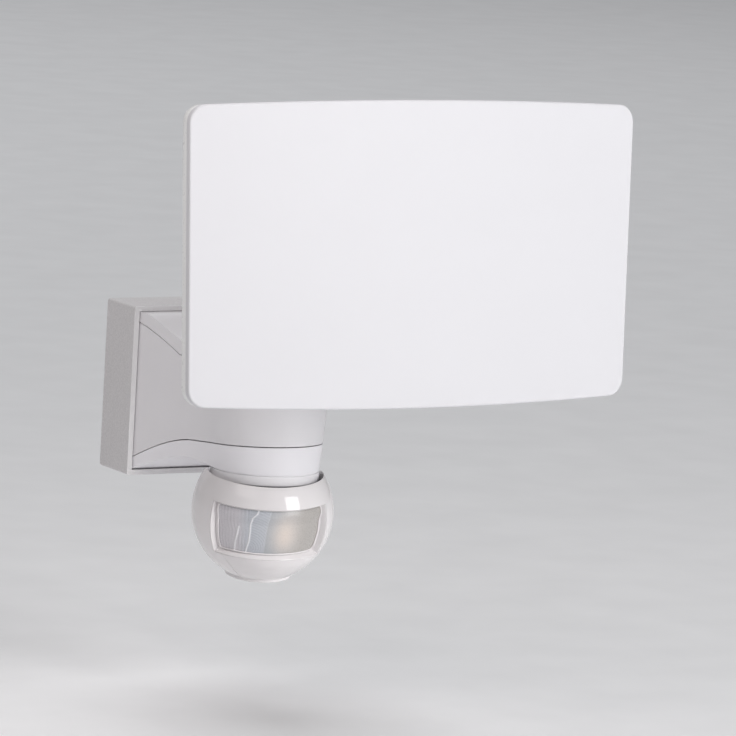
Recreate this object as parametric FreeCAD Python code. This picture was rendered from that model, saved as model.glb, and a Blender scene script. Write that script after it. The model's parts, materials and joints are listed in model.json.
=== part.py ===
import FreeCAD, Part
import math
import os

from FreeCAD import Vector

# Motion sensor wall light: a wall box carries a trumpet shaped arm that ends in a round column.
# On the column a swivel elbow holds a wide curved lamp panel, and under it hangs a ball shaped
# motion sensor. Millimetres. The origin is the centre of the wall box's back face, +X to the
# right, +Y into the wall and +Z up.

# Wall box
BASE_W = 75.0
BASE_H = 63.6
BASE_D = 22.2
BASE_WALL = 1.9
BASE_BACK = 2.4
BASE_CORNER_R = 1.0
POST_SIDE = 5.0
SLOT_SPACING = 50.0
SLOT_R = 2.5
SLOT_LENGTH = 10.0
INLET_Z = -15.0
INLET_R = 7.0
GROMMET_BORE_R = 4.2
GROMMET_LIP_R = 9.0
GROMMET_LIP = 1.5
GROMMET_SHOULDER = 2.0
GROMMET_NOSE = 3.0
GROMMET_NOSE_WALL = 1.2

# Lock screws that come up through the floor of the wall box
LOCK_X = 22.0
LOCK_BACK = 8.0
LOCK_PAD_SIDE = 10.0
LOCK_PAD = 1.7
LOCK_HEAD_R = 2.8
LOCK_HEAD = 1.6
LOCK_R = 1.45
LOCK_LENGTH = 10.0
LOCK_BOSS_H = 9.0
CROSS_LENGTH = 3.2
CROSS_W = 0.7
CROSS_DEPTH = 0.9

# Front plate of the arm, set back inside the rim of the wall box
RIM_STEP = 1.6
PLATE_T = 2.4
PLATE_GAP = 0.1
PASSAGE_SIDE = 6.6
PASSAGE_SILL = 15.7
PASSAGE_HEAD = 7.7

# Arm and column
ARM_REACH = 60.0
ARM_WALL = 2.2
COLUMN_R = 20.2
COLUMN_DRAFT_DEG = 4.0
COLUMN_BOTTOM = -23.5
COLUMN_TOP = 21.3
ARCH_BACK = 17.0
ARCH_Z = -21.8
LOWER_SEAM_ROOT_Z = -25.4
LOWER_SEAM_KNEE_Z = -15.1
LOWER_SEAM_FRONT_Z = -12.0
LOWER_SEAM_KNEE_BACK = 14.0
UPPER_SEAM_ROOT_Z = 26.0
UPPER_SEAM_COLUMN_Z = 16.0
SEAM_GAP = 0.4
DECK_BOTTOM = 2.5
DECK_T = 3.0
TOWER_R = 9.0
TOP_LANDING_INSET = 0.7
SEAM_LANDING_REACH = 0.3

# How the arm's lines leave one end and reach the other: shares of the line's run and of its rise
ARCH_LEAVE = (0.35, 0.42)
ARCH_REACH = (0.36, 0.0)
FOOT_LEAVE = (0.4, 0.0)
FOOT_REACH = (0.5, 0.0)
KNEE_LEAVE = (0.3, 0.45)
KNEE_REACH = (0.4, 0.03)
FRONT_LEAVE = (0.2, 0.15)
FRONT_REACH = (0.6, 0.3)
UPPER_SEAM_LEAVE = (0.27, 0.11)
UPPER_SEAM_REACH = (0.3, 0.39)
TOP_LEAVE = (0.35, 0.0)
TOP_REACH = (0.6, 0.7)
FLANK_LEAVE = (0.32, 0.38)
FLANK_REACH = 0.43

# Terminal block and lamp driver
BLOCK_W = 27.0
BLOCK_H = 14.0
BLOCK_D = 11.0
BLOCK_Z = 12.0
BLOCK_CORNER_R = 0.8
WIRE_LINE = 3.7
POLES = 3
POLE_PITCH = 8.5
POLE_SCREW_R = 1.7
POLE_SCREW_SINK = 1.0
POLE_GROOVE_W = 0.6
POLE_GROOVE = 0.6
WIRE_HOLE_R = 1.6
BOARD_T = 1.6
DRIVER_W = 30.0
DRIVER_L = 22.0
DRIVER_Z = -9.0
DRIVER_BACK = 25.0
DRIVER_POST_R = 2.5
DRIVER_POST_INSET = 3.0
COIL_SIDE = 12.0
COIL_H = 10.0
COIL_EDGE = 2.0
COIL_FLANGE = 2.0
COIL_WINDING_INSET = 1.0
CAPACITOR_R = 4.0
CAPACITOR_L = 12.0
CAPACITOR_EDGE = 3.0
CAPACITOR_FILLET = 0.6

# Swivel between the column and the elbow
SWIVEL_TUBE_R = 5.0
SWIVEL_TUBE_BORE_R = 3.2
RUNNING_GAP = 0.06
WASHER_R = 15.0
WASHER_T = 1.0
FACE_GAP = 0.1
SWIVEL_NUT_FLATS = 15.0
SWIVEL_NUT_H = 3.4
SWIVEL_TUBE_TAIL = 5.0
SPRING_WASHER_T = 1.4
SPRING_SPLIT = 1.0
TUBE_HEAD_R = 8.0
TUBE_HEAD_H = 2.6

# Elbow
ELBOW_STEP = 0.2
ELBOW_H = 20.0
ELBOW_FLOOR = 4.0
ELBOW_POCKET_R = 12.5
ELBOW_CAP_R = 15.0
ELBOW_CAP_T = 2.2
ELBOW_TOP_FILLET = 2.0
CAP_FILLET = 0.6
CAP_SKIRT_H = 3.0
CAP_SKIRT_T = 1.5
NECK_W = 22.0
NECK_FILLET = 4.0
HEEL_LIFT = 1.0
NAPE_DROP = 1.5

# Where the neck meets the barrel, as shares of the barrel's radius, and its pull as shares of the run
CHIN_BACK = 0.35
CHIN_DROP = 0.8
CROWN_BACK = 0.7
CROWN_LIFT = 0.55
HEEL_PULL = 0.45
CHIN_PULL = (0.12, -0.42)
CROWN_PULL = (0.1, -0.2)
NAPE_PULL = 0.3

# Hinge barrel
BARREL_R = 10.0
BARREL_W = 23.0

# Tilt hinge of the lamp panel
TILT_AHEAD = 64.0
TILT_Z = 64.0
REST_TILT_DEG = 3.66
TILT_BOLT_R = 3.0
TILT_WASHER_T = 0.8
TILT_WASHER_R = 8.0
EAR_T = 5.0
BOLT_HEAD_FLATS = 10.0
BOLT_HEAD_H = 4.0
BOLT_TAIL = 1.5

# Lamp panel, in its own frame with the tilt axis as its origin
PANEL_W = 180.0
PANEL_H = 108.9
PANEL_TAPER = 1.8
EDGE_BOW = 2.1
FACE_BOW = 5.8
CORNER_R = 6.5
CORNER_MIN_R = 1.0
FACE_REACH = 34.7
FACE_RISE = 3.5
RIM_DEPTH = 5.4
DIFFUSER_T = 2.2
DIFFUSER_EDGE_R = 0.7
FRAME_STEP = 0.2
FRAME_WALL = 11.0
PANEL_SCREW_INSET = 7.0
SEAL_T = 0.8
SEAL_W = 2.0
SEAL_INSET = 3.2
TRAY_INSET = 2.6
TRAY_WALL = 3.2
TRAY_FLANGE_T = 2.0
TRAY_END_SLOPE = 4.0
TRAY_BACK_Y = -20.0
TRAY_FLOOR = 3.0
LED_BOARD_INSET = 12.0
LED_COLUMNS = 7
LED_ROWS = 4
LED_PITCH_X = 21.0
LED_PITCH_Z = 20.0
LED_SIDE = 3.0
LED_T = 0.7
REFLECTOR_T = 0.8
REFLECTOR_FOOT_INSET = 1.0
REFLECTOR_RIM_INSET = 0.5
REFLECTOR_DROP = 1.0
FIN_PITCH = 8.5
FIN_T = 2.2
FIN_FIRST_X = 25.0
FIN_END_INSET = 13.5
FIN_MAX = 15.0
FIN_MIN = 6.0
FIN_H = 82.0
FIN_END_R = 5.0
HINGE_PAD_W = 40.0
HINGE_PAD_H = 34.0
HINGE_PAD_T = 3.0
EAR_FOOT_INSET = 1.0
PANEL_SCREW_END = 18.0
PANEL_SCREW_R = 1.5
PANEL_SCREW_HEAD_R = 2.8
PANEL_SCREW_HEAD = 2.0
PANEL_SCREW_BOSS_R = 4.2
PANEL_SCREW_BITE = 2.0
PANEL_SCREW_BLIND = 0.8
PANEL_BOSS_SINK = 0.5
PANEL_SLOT_LENGTH = 4.0
PANEL_SLOT_W = 0.7
PANEL_SLOT_DEPTH = 0.9

# Motion sensor
BALL_R = 26.4
BALL_WALL = 2.0
BALL_DROP = 16.2
SENSOR_PAN_DEG = -20.0
SENSOR_NOSE_DEG = 7.0
SENSOR_NOSE_MAX_DEG = 20.0
COLLAR_H = 4.1
COLLAR_GAP = 1.4
COLLAR_SWEEP_STEPS = 4
COLLAR_FILLET = 0.6
COLLAR_LINE_H = 0.4
COLLAR_LINE_DEPTH = 0.5
WINDOW_HALF_DEG = 55.5
WINDOW_TOP_DEG = 16.5
WINDOW_BOTTOM_DEG = -28.0
WINDOW_FIT_DEG = 0.3
WINDOW_LIP_DEG = 0.8
BEVEL_OVERSHOOT = 1.5
LENS_HALF_DEG = 46.5
LENS_TOP_DEG = 14.8
LENS_BOTTOM_DEG = -24.6
LENS_R = 25.2
LENS_T = 0.9
LENS_COLUMNS = 9
LENS_ROWS = 3
LENS_EDGE_DEG = 0.4
LENS_SEAT_DEG = 0.6
COVER_TOP_Z = -11.4
COVER_TOP_HALF = 17.6
COVER_BOTTOM_HALF = 4.3
COVER_GAP = 0.15
DIAL_BOSS_R = 12.5
DIAL_BOSS_BOTTOM = -24.5
DIAL_BOSS_TOP = -20.4
DIAL_BOSS_FILLET = 0.5
DIAL_X = 6.0
DIAL_R = 4.0
DIAL_GAP = 0.3
DIAL_H = 2.2
DIAL_STEM_R = 1.5
DIAL_CHAMFER = 0.3
DIAL_SLOT = 1.0
DIAL_SLOT_INSET = 0.8
DIAL_SLOT_DEPTH = 1.0
DIAL_OVERLAP = 0.5
NECK_TUBE_R = 12.0
NECK_TUBE_BORE_R = 9.0
NECK_HEAD_R = 14.5
NECK_HEAD_T = 1.6
BEARING_T = 4.0
BEARING_WALL = 1.5
SKIRT_GAP = 0.5
SKIRT_T = 1.5
SKIRT_LOW_DEG = 12.0
YOKE_PLATE_T = 1.6
LUG_HALF = 5.0
LUG_LOW = -5.5
LUG_OVERLAP = 1.0
YOKE_SIGHT_DEG = 4.0
YOKE_BROW_DEG = 1.5
PIVOT_R = 2.0
PIVOT_LENGTH = 3.4
PIVOT_SKIN = 1.0
PIVOT_SOCKET = 4.0
RIB_INNER_X = 11.0
RIB_T = 2.9
RIB_LOW = -13.0
RIB_TOP = -9.0
SENSOR_BOARD_W = 30.0
SENSOR_BOARD_LOW = -16.5
SENSOR_BOARD_TOP = 6.0
SENSOR_BOARD_Y = -6.0
SENSOR_BOARD_CLEAR = 2.5
PIR_R = 4.1
PIR_H = 4.2
PIR_Z = -5.0
PIR_FILLET = 0.5
PIR_FLANGE = 0.5
PIR_FLANGE_T = 0.6
PIR_WINDOW_W = 4.0
PIR_WINDOW_H = 3.0
PIR_WINDOW_DEPTH = 0.3
TRIMMER_SIDE = 6.0
TRIMMER_H = 3.5
TRIMMER_FOOT_LOW = 1.0
TRIMMER_FOOT_HIGH = 3.0

# Places that follow from the sizes above
PLATE_FRONT_Y = -(BASE_D - RIM_STEP)
PLATE_BACK_Y = PLATE_FRONT_Y + PLATE_T
PLATE_HALF_W = BASE_W / 2 - BASE_WALL - PLATE_GAP
PLATE_HALF_H = BASE_H / 2 - BASE_WALL - PLATE_GAP
COLUMN_Y = -ARM_REACH
FRONT_Y = COLUMN_Y - 2 * COLUMN_R
DRAFT = math.tan(math.radians(COLUMN_DRAFT_DEG))
TILT_Y = COLUMN_Y - TILT_AHEAD
BALL_Z = COLUMN_BOTTOM - BALL_DROP
ELBOW_R = COLUMN_R - ELBOW_STEP
ELBOW_Z = COLUMN_TOP + WASHER_T + 2 * FACE_GAP
ELBOW_TOP = ELBOW_Z + ELBOW_H
FACE_R = (PANEL_W ** 2 / 4 + FACE_BOW ** 2) / (2 * FACE_BOW)
FACE_APEX_Y = -(FACE_REACH + FACE_BOW)
LENS_INNER_R = LENS_R - LENS_T
PANEL_SCREW_X = PANEL_W / 2 - PANEL_SCREW_END
SIGHT_REACH = 2.0 * BALL_R

# Overrun of cutting solids past what they cut, a size beyond every piece, and tolerances for finding edges
OVERRUN = 1.0
BIG = 400.0
TINY = 0.01
NEARLY_ALONG = 0.9

# Half of a half turn, for cutters that reach all round the front
QUARTER_TURN_DEG = 90.0


def save(name, shape):
    """Write one piece to its STEP file, as one solid or as a group of like solids."""
    clean = shape.removeSplitter() if shape.ShapeType in ("Solid", "Compound") else shape
    solids = clean.Solids
    result = solids[0] if len(solids) == 1 else Part.makeCompound(solids)
    if not result.isValid():
        raise ValueError(name + " is not a valid solid")
    result.exportStep("parts/" + name + ".step")
    print(name, len(solids), round(sum(solid.Volume for solid in solids), 1))


def box(x0, x1, y0, y1, z0, z1):
    return Part.makeBox(x1 - x0, y1 - y0, z1 - z0, Vector(x0, y0, z0))


def upright(radius, x, y, z0, z1):
    """A round bar along Z."""
    return Part.makeCylinder(radius, z1 - z0, Vector(x, y, z0), Vector(0, 0, 1))


def crosswise(radius, x0, x1, y, z):
    """A round bar along X."""
    return Part.makeCylinder(radius, x1 - x0, Vector(x0, y, z), Vector(1, 0, 0))


def inward(radius, x, z, y0, y1):
    """A round bar along Y."""
    return Part.makeCylinder(radius, y1 - y0, Vector(x, y0, z), Vector(0, 1, 0))


def hexagon(flats, centre, axis, height):
    """A six sided nut or bolt head with the given distance across its flats."""
    polygon = []
    for corner in range(6):
        angle = math.radians(60 * corner)
        reach = flats / math.sqrt(3)
        polygon.append(Vector(reach * math.cos(angle), reach * math.sin(angle), 0))
    face = Part.Face(Part.makePolygon(polygon + polygon[:1]))
    solid = face.extrude(Vector(0, 0, height))
    solid.Placement = FreeCAD.Placement(centre, FreeCAD.Rotation(Vector(0, 0, 1), axis))
    return solid


def bezier(*poles):
    curve = Part.BezierCurve()
    curve.setPoles(list(poles))
    return curve.toShape()


def segment(start, end):
    return Part.LineSegment(start, end).toShape()


def side_solid(edges, half_width):
    """Extrude a closed outline in the YZ plane equally to both sides of X = 0."""
    face = Part.Face(Part.Wire(edges))
    return face.extrude(Vector(2 * half_width, 0, 0)).translated(Vector(-half_width, 0, 0))


def runs_inward(edge):
    """True for an edge along Y, such as the corner of a plate."""
    return abs(edge.tangentAt(edge.FirstParameter).y) > NEARLY_ALONG


def rims_at(solid, z):
    """Closed edges that lie at one height."""
    return [edge for edge in solid.Edges if edge.isClosed() and abs(edge.BoundBox.ZMax - z) < TINY]


def side_point(y, z):
    return Vector(0, y, z)


def sweep(start, end, leave, reach):
    """A smooth side line from one point to another, with its pulls as shares of run and rise."""
    run = end.y - start.y
    rise = end.z - start.z
    first = start + Vector(0, leave[0] * run, leave[1] * rise)
    second = end - Vector(0, reach[0] * run, reach[1] * rise)
    return bezier(start, first, second, end)


def lower_edge(lift):
    """Underside of the arm from the plate over its arch to the foot of the column."""
    root = side_point(PLATE_FRONT_Y, -PLATE_HALF_H + lift)
    arch = side_point(COLUMN_Y + ARCH_BACK, ARCH_Z + lift)
    foot = side_point(COLUMN_Y, COLUMN_BOTTOM + lift)
    end = side_point(FRONT_Y, COLUMN_BOTTOM + lift)
    root_to_arch = sweep(root, arch, ARCH_LEAVE, ARCH_REACH)
    arch_to_foot = sweep(arch, foot, FOOT_LEAVE, FOOT_REACH)
    return [root_to_arch, arch_to_foot, segment(foot, end)]


def lower_seam(lift):
    """Joint between the arm and its bottom cover: it climbs from the plate and goes round the column."""
    root = side_point(PLATE_FRONT_Y, LOWER_SEAM_ROOT_Z + lift)
    knee = side_point(COLUMN_Y + LOWER_SEAM_KNEE_BACK, LOWER_SEAM_KNEE_Z + lift)
    end = side_point(FRONT_Y, LOWER_SEAM_FRONT_Z + lift)
    return [sweep(root, knee, KNEE_LEAVE, KNEE_REACH), sweep(knee, end, FRONT_LEAVE, FRONT_REACH)]


def upper_seam(lift):
    """Joint between the arm and its top cover."""
    root = side_point(PLATE_FRONT_Y, UPPER_SEAM_ROOT_Z + lift)
    land = side_point(COLUMN_Y + COLUMN_R + SEAM_LANDING_REACH, UPPER_SEAM_COLUMN_Z + lift)
    end = side_point(FRONT_Y, UPPER_SEAM_COLUMN_Z + lift)
    return [sweep(root, land, UPPER_SEAM_LEAVE, UPPER_SEAM_REACH), segment(land, end)]


def upper_edge(lift):
    """Top of the arm, sweeping down from the plate to the flat top of the column."""
    root = side_point(PLATE_FRONT_Y, PLATE_HALF_H + lift)
    land = side_point(COLUMN_Y + COLUMN_R - TOP_LANDING_INSET, COLUMN_TOP + lift)
    end = side_point(FRONT_Y, COLUMN_TOP + lift)
    return [sweep(root, land, TOP_LEAVE, TOP_REACH), segment(land, end)]


def between(low_edges, high_edges):
    """Side outline between a low and a high line that both run from the plate to the front."""
    low_root = low_edges[0].firstVertex().Point
    low_end = low_edges[-1].lastVertex().Point
    high_root = high_edges[0].firstVertex().Point
    high_end = high_edges[-1].lastVertex().Point
    root = segment(high_root, low_root)
    end = segment(low_end, high_end)
    return side_solid([root] + low_edges + [end] + list(reversed(high_edges)), BASE_W)


def level_edge(z):
    """A straight side line far above or below the arm."""
    return [segment(side_point(PLATE_FRONT_Y, z), side_point(FRONT_Y, z))]


def plan_wire(inset, z):
    """Plan outline of the arm at one height: two flared flanks that run into the round column."""
    radius = COLUMN_R + DRAFT * (z - COLUMN_BOTTOM) - inset
    root_half = PLATE_HALF_W - inset
    reach = PLATE_FRONT_Y - COLUMN_Y
    taper = root_half - radius
    right_root = Vector(root_half, PLATE_FRONT_Y, z)
    right_waist = Vector(radius, COLUMN_Y, z)
    leave = Vector(FLANK_LEAVE[1] * taper, -FLANK_LEAVE[0] * reach, 0)
    arrive = Vector(0, FLANK_REACH * reach, 0)
    mirrored = Vector(-leave.x, leave.y, 0)
    right = bezier(right_root, right_root + mirrored, right_waist + arrive, right_waist)
    front = Part.Arc(right_waist, Vector(0, COLUMN_Y - radius, z), Vector(-radius, COLUMN_Y, z)).toShape()
    left_root = Vector(-root_half, PLATE_FRONT_Y, z)
    left_waist = Vector(-radius, COLUMN_Y, z)
    left = bezier(left_waist, left_waist + arrive, left_root + leave, left_root)
    return Part.Wire([right, front, left, segment(left_root, right_root)])


def arm_form(inset):
    """The whole trumpet: its plan outline with the column's draft, cut to its side outline."""
    trunk = Part.makeLoft([plan_wire(inset, -PLATE_HALF_H), plan_wire(inset, PLATE_HALF_H)], True, True)
    return trunk.common(between(lower_edge(inset), upper_edge(-inset)))


def wall_base():
    body = box(-BASE_W / 2, BASE_W / 2, -BASE_D, 0, -BASE_H / 2, BASE_H / 2)
    body = body.makeFillet(BASE_CORNER_R, [edge for edge in body.Edges if runs_inward(edge)])
    half_w = BASE_W / 2 - BASE_WALL
    half_h = BASE_H / 2 - BASE_WALL
    body = body.cut(box(-half_w, half_w, -BASE_D - OVERRUN, -BASE_BACK, -half_h, half_h))
    overlap = BASE_WALL / 2
    for side_x in (-1, 1):
        for side_z in (-1, 1):
            x_values = sorted((side_x * (half_w - POST_SIDE), side_x * (half_w + overlap)))
            z_values = sorted((side_z * (half_h - POST_SIDE), side_z * (half_h + overlap)))
            post = box(*x_values, PLATE_BACK_Y, -BASE_BACK / 2, *z_values)
            body = body.fuse(post)
    for side in (-1, 1):
        x = side * LOCK_X
        pad = box(
            x - LOCK_PAD_SIDE / 2, x + LOCK_PAD_SIDE / 2,
            lock_y() - LOCK_PAD_SIDE / 2, -BASE_BACK / 2,
            -half_h - overlap, -half_h + LOCK_PAD,
        )
        body = body.fuse(pad)
    for side in (-1, 1):
        x = side * LOCK_X
        body = body.cut(upright(LOCK_R + FACE_GAP, x, lock_y(), -BASE_H, 0))
        body = body.cut(upright(LOCK_HEAD_R + FACE_GAP, x, lock_y(), -BASE_H, -BASE_H / 2 + LOCK_HEAD))
    for side in (-1, 1):
        body = body.cut(slot_cutter(side * SLOT_SPACING / 2))
    return body.cut(inward(INLET_R, 0, INLET_Z, -BASE_D, OVERRUN))


def lock_y():
    """Depth of the lock screws, behind the arm's front plate."""
    return PLATE_BACK_Y + LOCK_BACK


def slot_cutter(x):
    """One fixing slot, long along X."""
    half = SLOT_LENGTH / 2 - SLOT_R
    middle = box(x - half, x + half, -BASE_D, OVERRUN, -SLOT_R, SLOT_R)
    ends = [inward(SLOT_R, end_x, 0, -BASE_D, OVERRUN) for end_x in (x - half, x + half)]
    return middle.fuse(ends)


def cable_grommet():
    """Rubber grommet snapped into the inlet of the back plate, flush with the wall face."""
    neck = inward(INLET_R - FACE_GAP / 2, 0, INLET_Z, -BASE_BACK, -FACE_GAP)
    lip = inward(GROMMET_LIP_R, 0, INLET_Z, -BASE_BACK - GROMMET_LIP, -BASE_BACK)
    nose = Part.makeCone(
        GROMMET_LIP_R - GROMMET_SHOULDER, GROMMET_BORE_R + GROMMET_NOSE_WALL, GROMMET_NOSE,
        Vector(0, -BASE_BACK - GROMMET_LIP, INLET_Z), Vector(0, -1, 0),
    )
    return neck.fuse([lip, nose]).cut(inward(GROMMET_BORE_R, 0, INLET_Z, -BASE_D, OVERRUN))


def terminal_block():
    """Three pole terminal block on the back plate."""
    back = -BASE_BACK
    front = back - BLOCK_D
    body = box(-BLOCK_W / 2, BLOCK_W / 2, front, back, BLOCK_Z - BLOCK_H / 2, BLOCK_Z + BLOCK_H / 2)
    body = body.makeFillet(BLOCK_CORNER_R, [edge for edge in body.Edges if runs_inward(edge)])
    for index in range(POLES):
        x = (index - (POLES - 1) / 2) * POLE_PITCH
        wire_hole = upright(WIRE_HOLE_R, x, back - WIRE_LINE, BLOCK_Z - BLOCK_H, BLOCK_Z + BLOCK_H)
        screw_hole = inward(POLE_SCREW_R + FACE_GAP, x, BLOCK_Z, front - OVERRUN, back - WIRE_LINE)
        body = body.cut([wire_hole, screw_hole])
    return body


def terminal_screws():
    """One clamp screw per pole, with a driver slot."""
    top = -BASE_BACK - BLOCK_D + POLE_SCREW_SINK
    tip = -BASE_BACK - WIRE_LINE - WIRE_HOLE_R
    half = POLE_GROOVE_W / 2
    screws = []
    for index in range(POLES):
        x = (index - (POLES - 1) / 2) * POLE_PITCH
        screw = inward(POLE_SCREW_R, x, BLOCK_Z, top, tip)
        across = box(
            x - half, x + half,
            top - OVERRUN, top + POLE_GROOVE,
            BLOCK_Z - BLOCK_H / 2, BLOCK_Z + BLOCK_H / 2,
        )
        screws.append(screw.cut(across))
    return Part.makeCompound(screws)


def lock_screws():
    """Two pan head screws from below, through the wall box floor into the arm's plate."""
    screws = []
    bottom = -BASE_H / 2
    for side in (-1, 1):
        x = side * LOCK_X
        head = upright(LOCK_HEAD_R, x, lock_y(), bottom, bottom + LOCK_HEAD)
        shank = upright(LOCK_R, x, lock_y(), bottom, bottom + LOCK_LENGTH)
        screws.append(head.fuse(shank).cut([
            recess_bar(x, CROSS_LENGTH, CROSS_W),
            recess_bar(x, CROSS_W, CROSS_LENGTH),
        ]))
    return Part.makeCompound(screws)


def recess_bar(x, size_x, size_y):
    """One bar of the cross recess in the head of a lock screw."""
    low = -BASE_H / 2 - OVERRUN
    y = lock_y()
    return box(x - size_x / 2, x + size_x / 2, y - size_y / 2, y + size_y / 2, low, -BASE_H / 2 + CROSS_DEPTH)


def arm_shell():
    """The trumpet as a hollow wall, open at its root."""
    return arm_form(0).cut(arm_form(ARM_WALL))


def arm_housing():
    """Middle moulding: front plate, both flanks, the column wall, and the tower for the swivel."""
    shell = arm_shell()
    wall = shell.common(between(lower_seam(SEAM_GAP / 2), upper_seam(-SEAM_GAP / 2)))
    plate = box(-PLATE_HALF_W, PLATE_HALF_W, PLATE_FRONT_Y, PLATE_BACK_Y, -PLATE_HALF_H, PLATE_HALF_H)
    body = plate.fuse(wall)
    column = arm_form(ARM_WALL / 2)
    deck = column.common(box(-BIG, BIG, -BIG, COLUMN_Y + COLUMN_R / 2, DECK_BOTTOM, DECK_BOTTOM + DECK_T))
    tower = upright(TOWER_R, 0, COLUMN_Y, DECK_BOTTOM, COLUMN_TOP)
    body = body.fuse([deck, tower])
    bosses = []
    for side in (-1, 1):
        x = side * LOCK_X
        low = -BASE_H / 2 + BASE_WALL + LOCK_PAD + FACE_GAP
        bosses.append(box(
            x - LOCK_PAD_SIDE / 2, x + LOCK_PAD_SIDE / 2,
            PLATE_BACK_Y - PLATE_T / 2, lock_y() + LOCK_PAD_SIDE / 2,
            low, low + LOCK_BOSS_H,
        ))
    body = body.fuse(bosses)
    half = PLATE_HALF_W - PASSAGE_SIDE
    passage = box(
        -half, half,
        PLATE_FRONT_Y - ARM_WALL, 0,
        -PLATE_HALF_H + PASSAGE_SILL, PLATE_HALF_H - PASSAGE_HEAD,
    )
    depth = -BASE_H / 2 + LOCK_LENGTH + OVERRUN
    holes = [upright(LOCK_R + FACE_GAP / 2, side * LOCK_X, lock_y(), -BASE_H, depth) for side in (-1, 1)]
    bore = upright(SWIVEL_TUBE_R + FACE_GAP / 2, 0, COLUMN_Y, -BASE_H, BASE_H)
    return body.cut([passage, bore] + holes)


def arm_top_cover():
    """Top band of the arm, clipped on along the upper seam, with a hole for the swivel tower."""
    lid = arm_shell().common(between(upper_seam(SEAM_GAP / 2), level_edge(BASE_H)))
    return lid.cut(upright(TOWER_R + FACE_GAP, 0, COLUMN_Y, -BASE_H, BASE_H))


def arm_bottom_cover():
    """Bottom band of the arm with the foot of the column, the sensor's bearing and board posts."""
    tray = arm_shell().common(between(level_edge(-BASE_H), lower_seam(-SEAM_GAP / 2)))
    posts = []
    for side_x in (-1, 1):
        for side_y in (-1, 1):
            x = side_x * (DRIVER_W / 2 - DRIVER_POST_INSET)
            y = driver_y() + side_y * (DRIVER_L / 2 - DRIVER_POST_INSET)
            posts.append(upright(DRIVER_POST_R, x, y, -BASE_H / 2, DRIVER_Z))
    lowered = arm_form(ARM_WALL / 2)
    bearing = upright(NECK_HEAD_R + BEARING_WALL, 0, COLUMN_Y, -BASE_H / 2, COLUMN_BOTTOM + BEARING_T)
    tray = tray.fuse([piece.common(lowered) for piece in posts + [bearing]])
    return tray.cut(upright(NECK_TUBE_R + RUNNING_GAP, 0, COLUMN_Y, -BASE_H, BASE_H))


def sensor_collar():
    """Smooth ring under the column that the ball closes around."""
    bottom = COLUMN_BOTTOM - COLLAR_H
    ring = upright(COLUMN_R, 0, COLUMN_Y, bottom, COLUMN_BOTTOM - FACE_GAP)
    ring = ring.makeFillet(COLLAR_FILLET, rims_at(ring, bottom))
    line = COLUMN_BOTTOM - COLLAR_LINE_H
    groove = upright(COLUMN_R + OVERRUN, 0, COLUMN_Y, line, COLUMN_BOTTOM)
    groove = groove.cut(upright(COLUMN_R - COLLAR_LINE_DEPTH, 0, COLUMN_Y, line, COLUMN_BOTTOM))
    return ring.cut([groove, upright(NECK_TUBE_R + RUNNING_GAP, 0, COLUMN_Y, -BASE_H, BASE_H)])


def driver_y():
    return COLUMN_Y + DRIVER_BACK


def driver_board():
    return box(
        -DRIVER_W / 2, DRIVER_W / 2,
        driver_y() - DRIVER_L / 2, driver_y() + DRIVER_L / 2,
        DRIVER_Z, DRIVER_Z + BOARD_T,
    )


def driver_coil():
    """Ferrite core with its winding, on the driver board."""
    z = DRIVER_Z + BOARD_T
    half = COIL_SIDE / 2
    x = -DRIVER_W / 2 + COIL_EDGE + half
    flange = box(x - half, x + half, driver_y() - half, driver_y() + half, z, z + COIL_FLANGE)
    winding = upright(half - COIL_WINDING_INSET, x, driver_y(), z, z + COIL_H - COIL_FLANGE)
    return flange.fuse([winding, flange.translated(Vector(0, 0, COIL_H - COIL_FLANGE))])


def driver_capacitor():
    """Smoothing capacitor lying on the driver board."""
    z = DRIVER_Z + BOARD_T + CAPACITOR_R
    x = DRIVER_W / 2 - CAPACITOR_R - CAPACITOR_EDGE
    can = inward(CAPACITOR_R, x, z, driver_y() - CAPACITOR_L / 2, driver_y() + CAPACITOR_L / 2)
    return can.makeFillet(CAPACITOR_FILLET, [edge for edge in can.Edges if edge.isClosed()])


def swivel_tube():
    """Hollow threaded tube that the elbow turns on; the lamp's leads run through it."""
    bottom = DECK_BOTTOM - SWIVEL_NUT_H - SWIVEL_TUBE_TAIL
    seat = ELBOW_Z + ELBOW_FLOOR + SPRING_WASHER_T + 2 * FACE_GAP
    tube = upright(SWIVEL_TUBE_R, 0, COLUMN_Y, bottom, seat + TUBE_HEAD_H)
    head = upright(TUBE_HEAD_R, 0, COLUMN_Y, seat, seat + TUBE_HEAD_H)
    return tube.fuse(head).cut(upright(SWIVEL_TUBE_BORE_R, 0, COLUMN_Y, bottom - OVERRUN, BASE_H))


def swivel_nut():
    centre = Vector(0, COLUMN_Y, DECK_BOTTOM - SWIVEL_NUT_H)
    nut = hexagon(SWIVEL_NUT_FLATS, centre, Vector(0, 0, 1), SWIVEL_NUT_H)
    return nut.cut(upright(SWIVEL_TUBE_R + FACE_GAP / 2, 0, COLUMN_Y, -BASE_H, BASE_H))


def friction_washer():
    """Plastic disc between the column and the elbow."""
    disc = upright(WASHER_R, 0, COLUMN_Y, COLUMN_TOP, COLUMN_TOP + WASHER_T)
    return disc.cut(upright(SWIVEL_TUBE_R + FACE_GAP, 0, COLUMN_Y, 0, BASE_H))


def spring_washer():
    """Split spring washer under the head of the swivel tube."""
    z = ELBOW_Z + ELBOW_FLOOR + FACE_GAP
    disc = upright(TUBE_HEAD_R, 0, COLUMN_Y, z, z + SPRING_WASHER_T)
    disc = disc.cut(upright(SWIVEL_TUBE_R + FACE_GAP, 0, COLUMN_Y, 0, BASE_H))
    half = SPRING_SPLIT / 2
    return disc.cut(box(-half, half, COLUMN_Y, 0, z - OVERRUN, z + SPRING_WASHER_T + OVERRUN))


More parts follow.
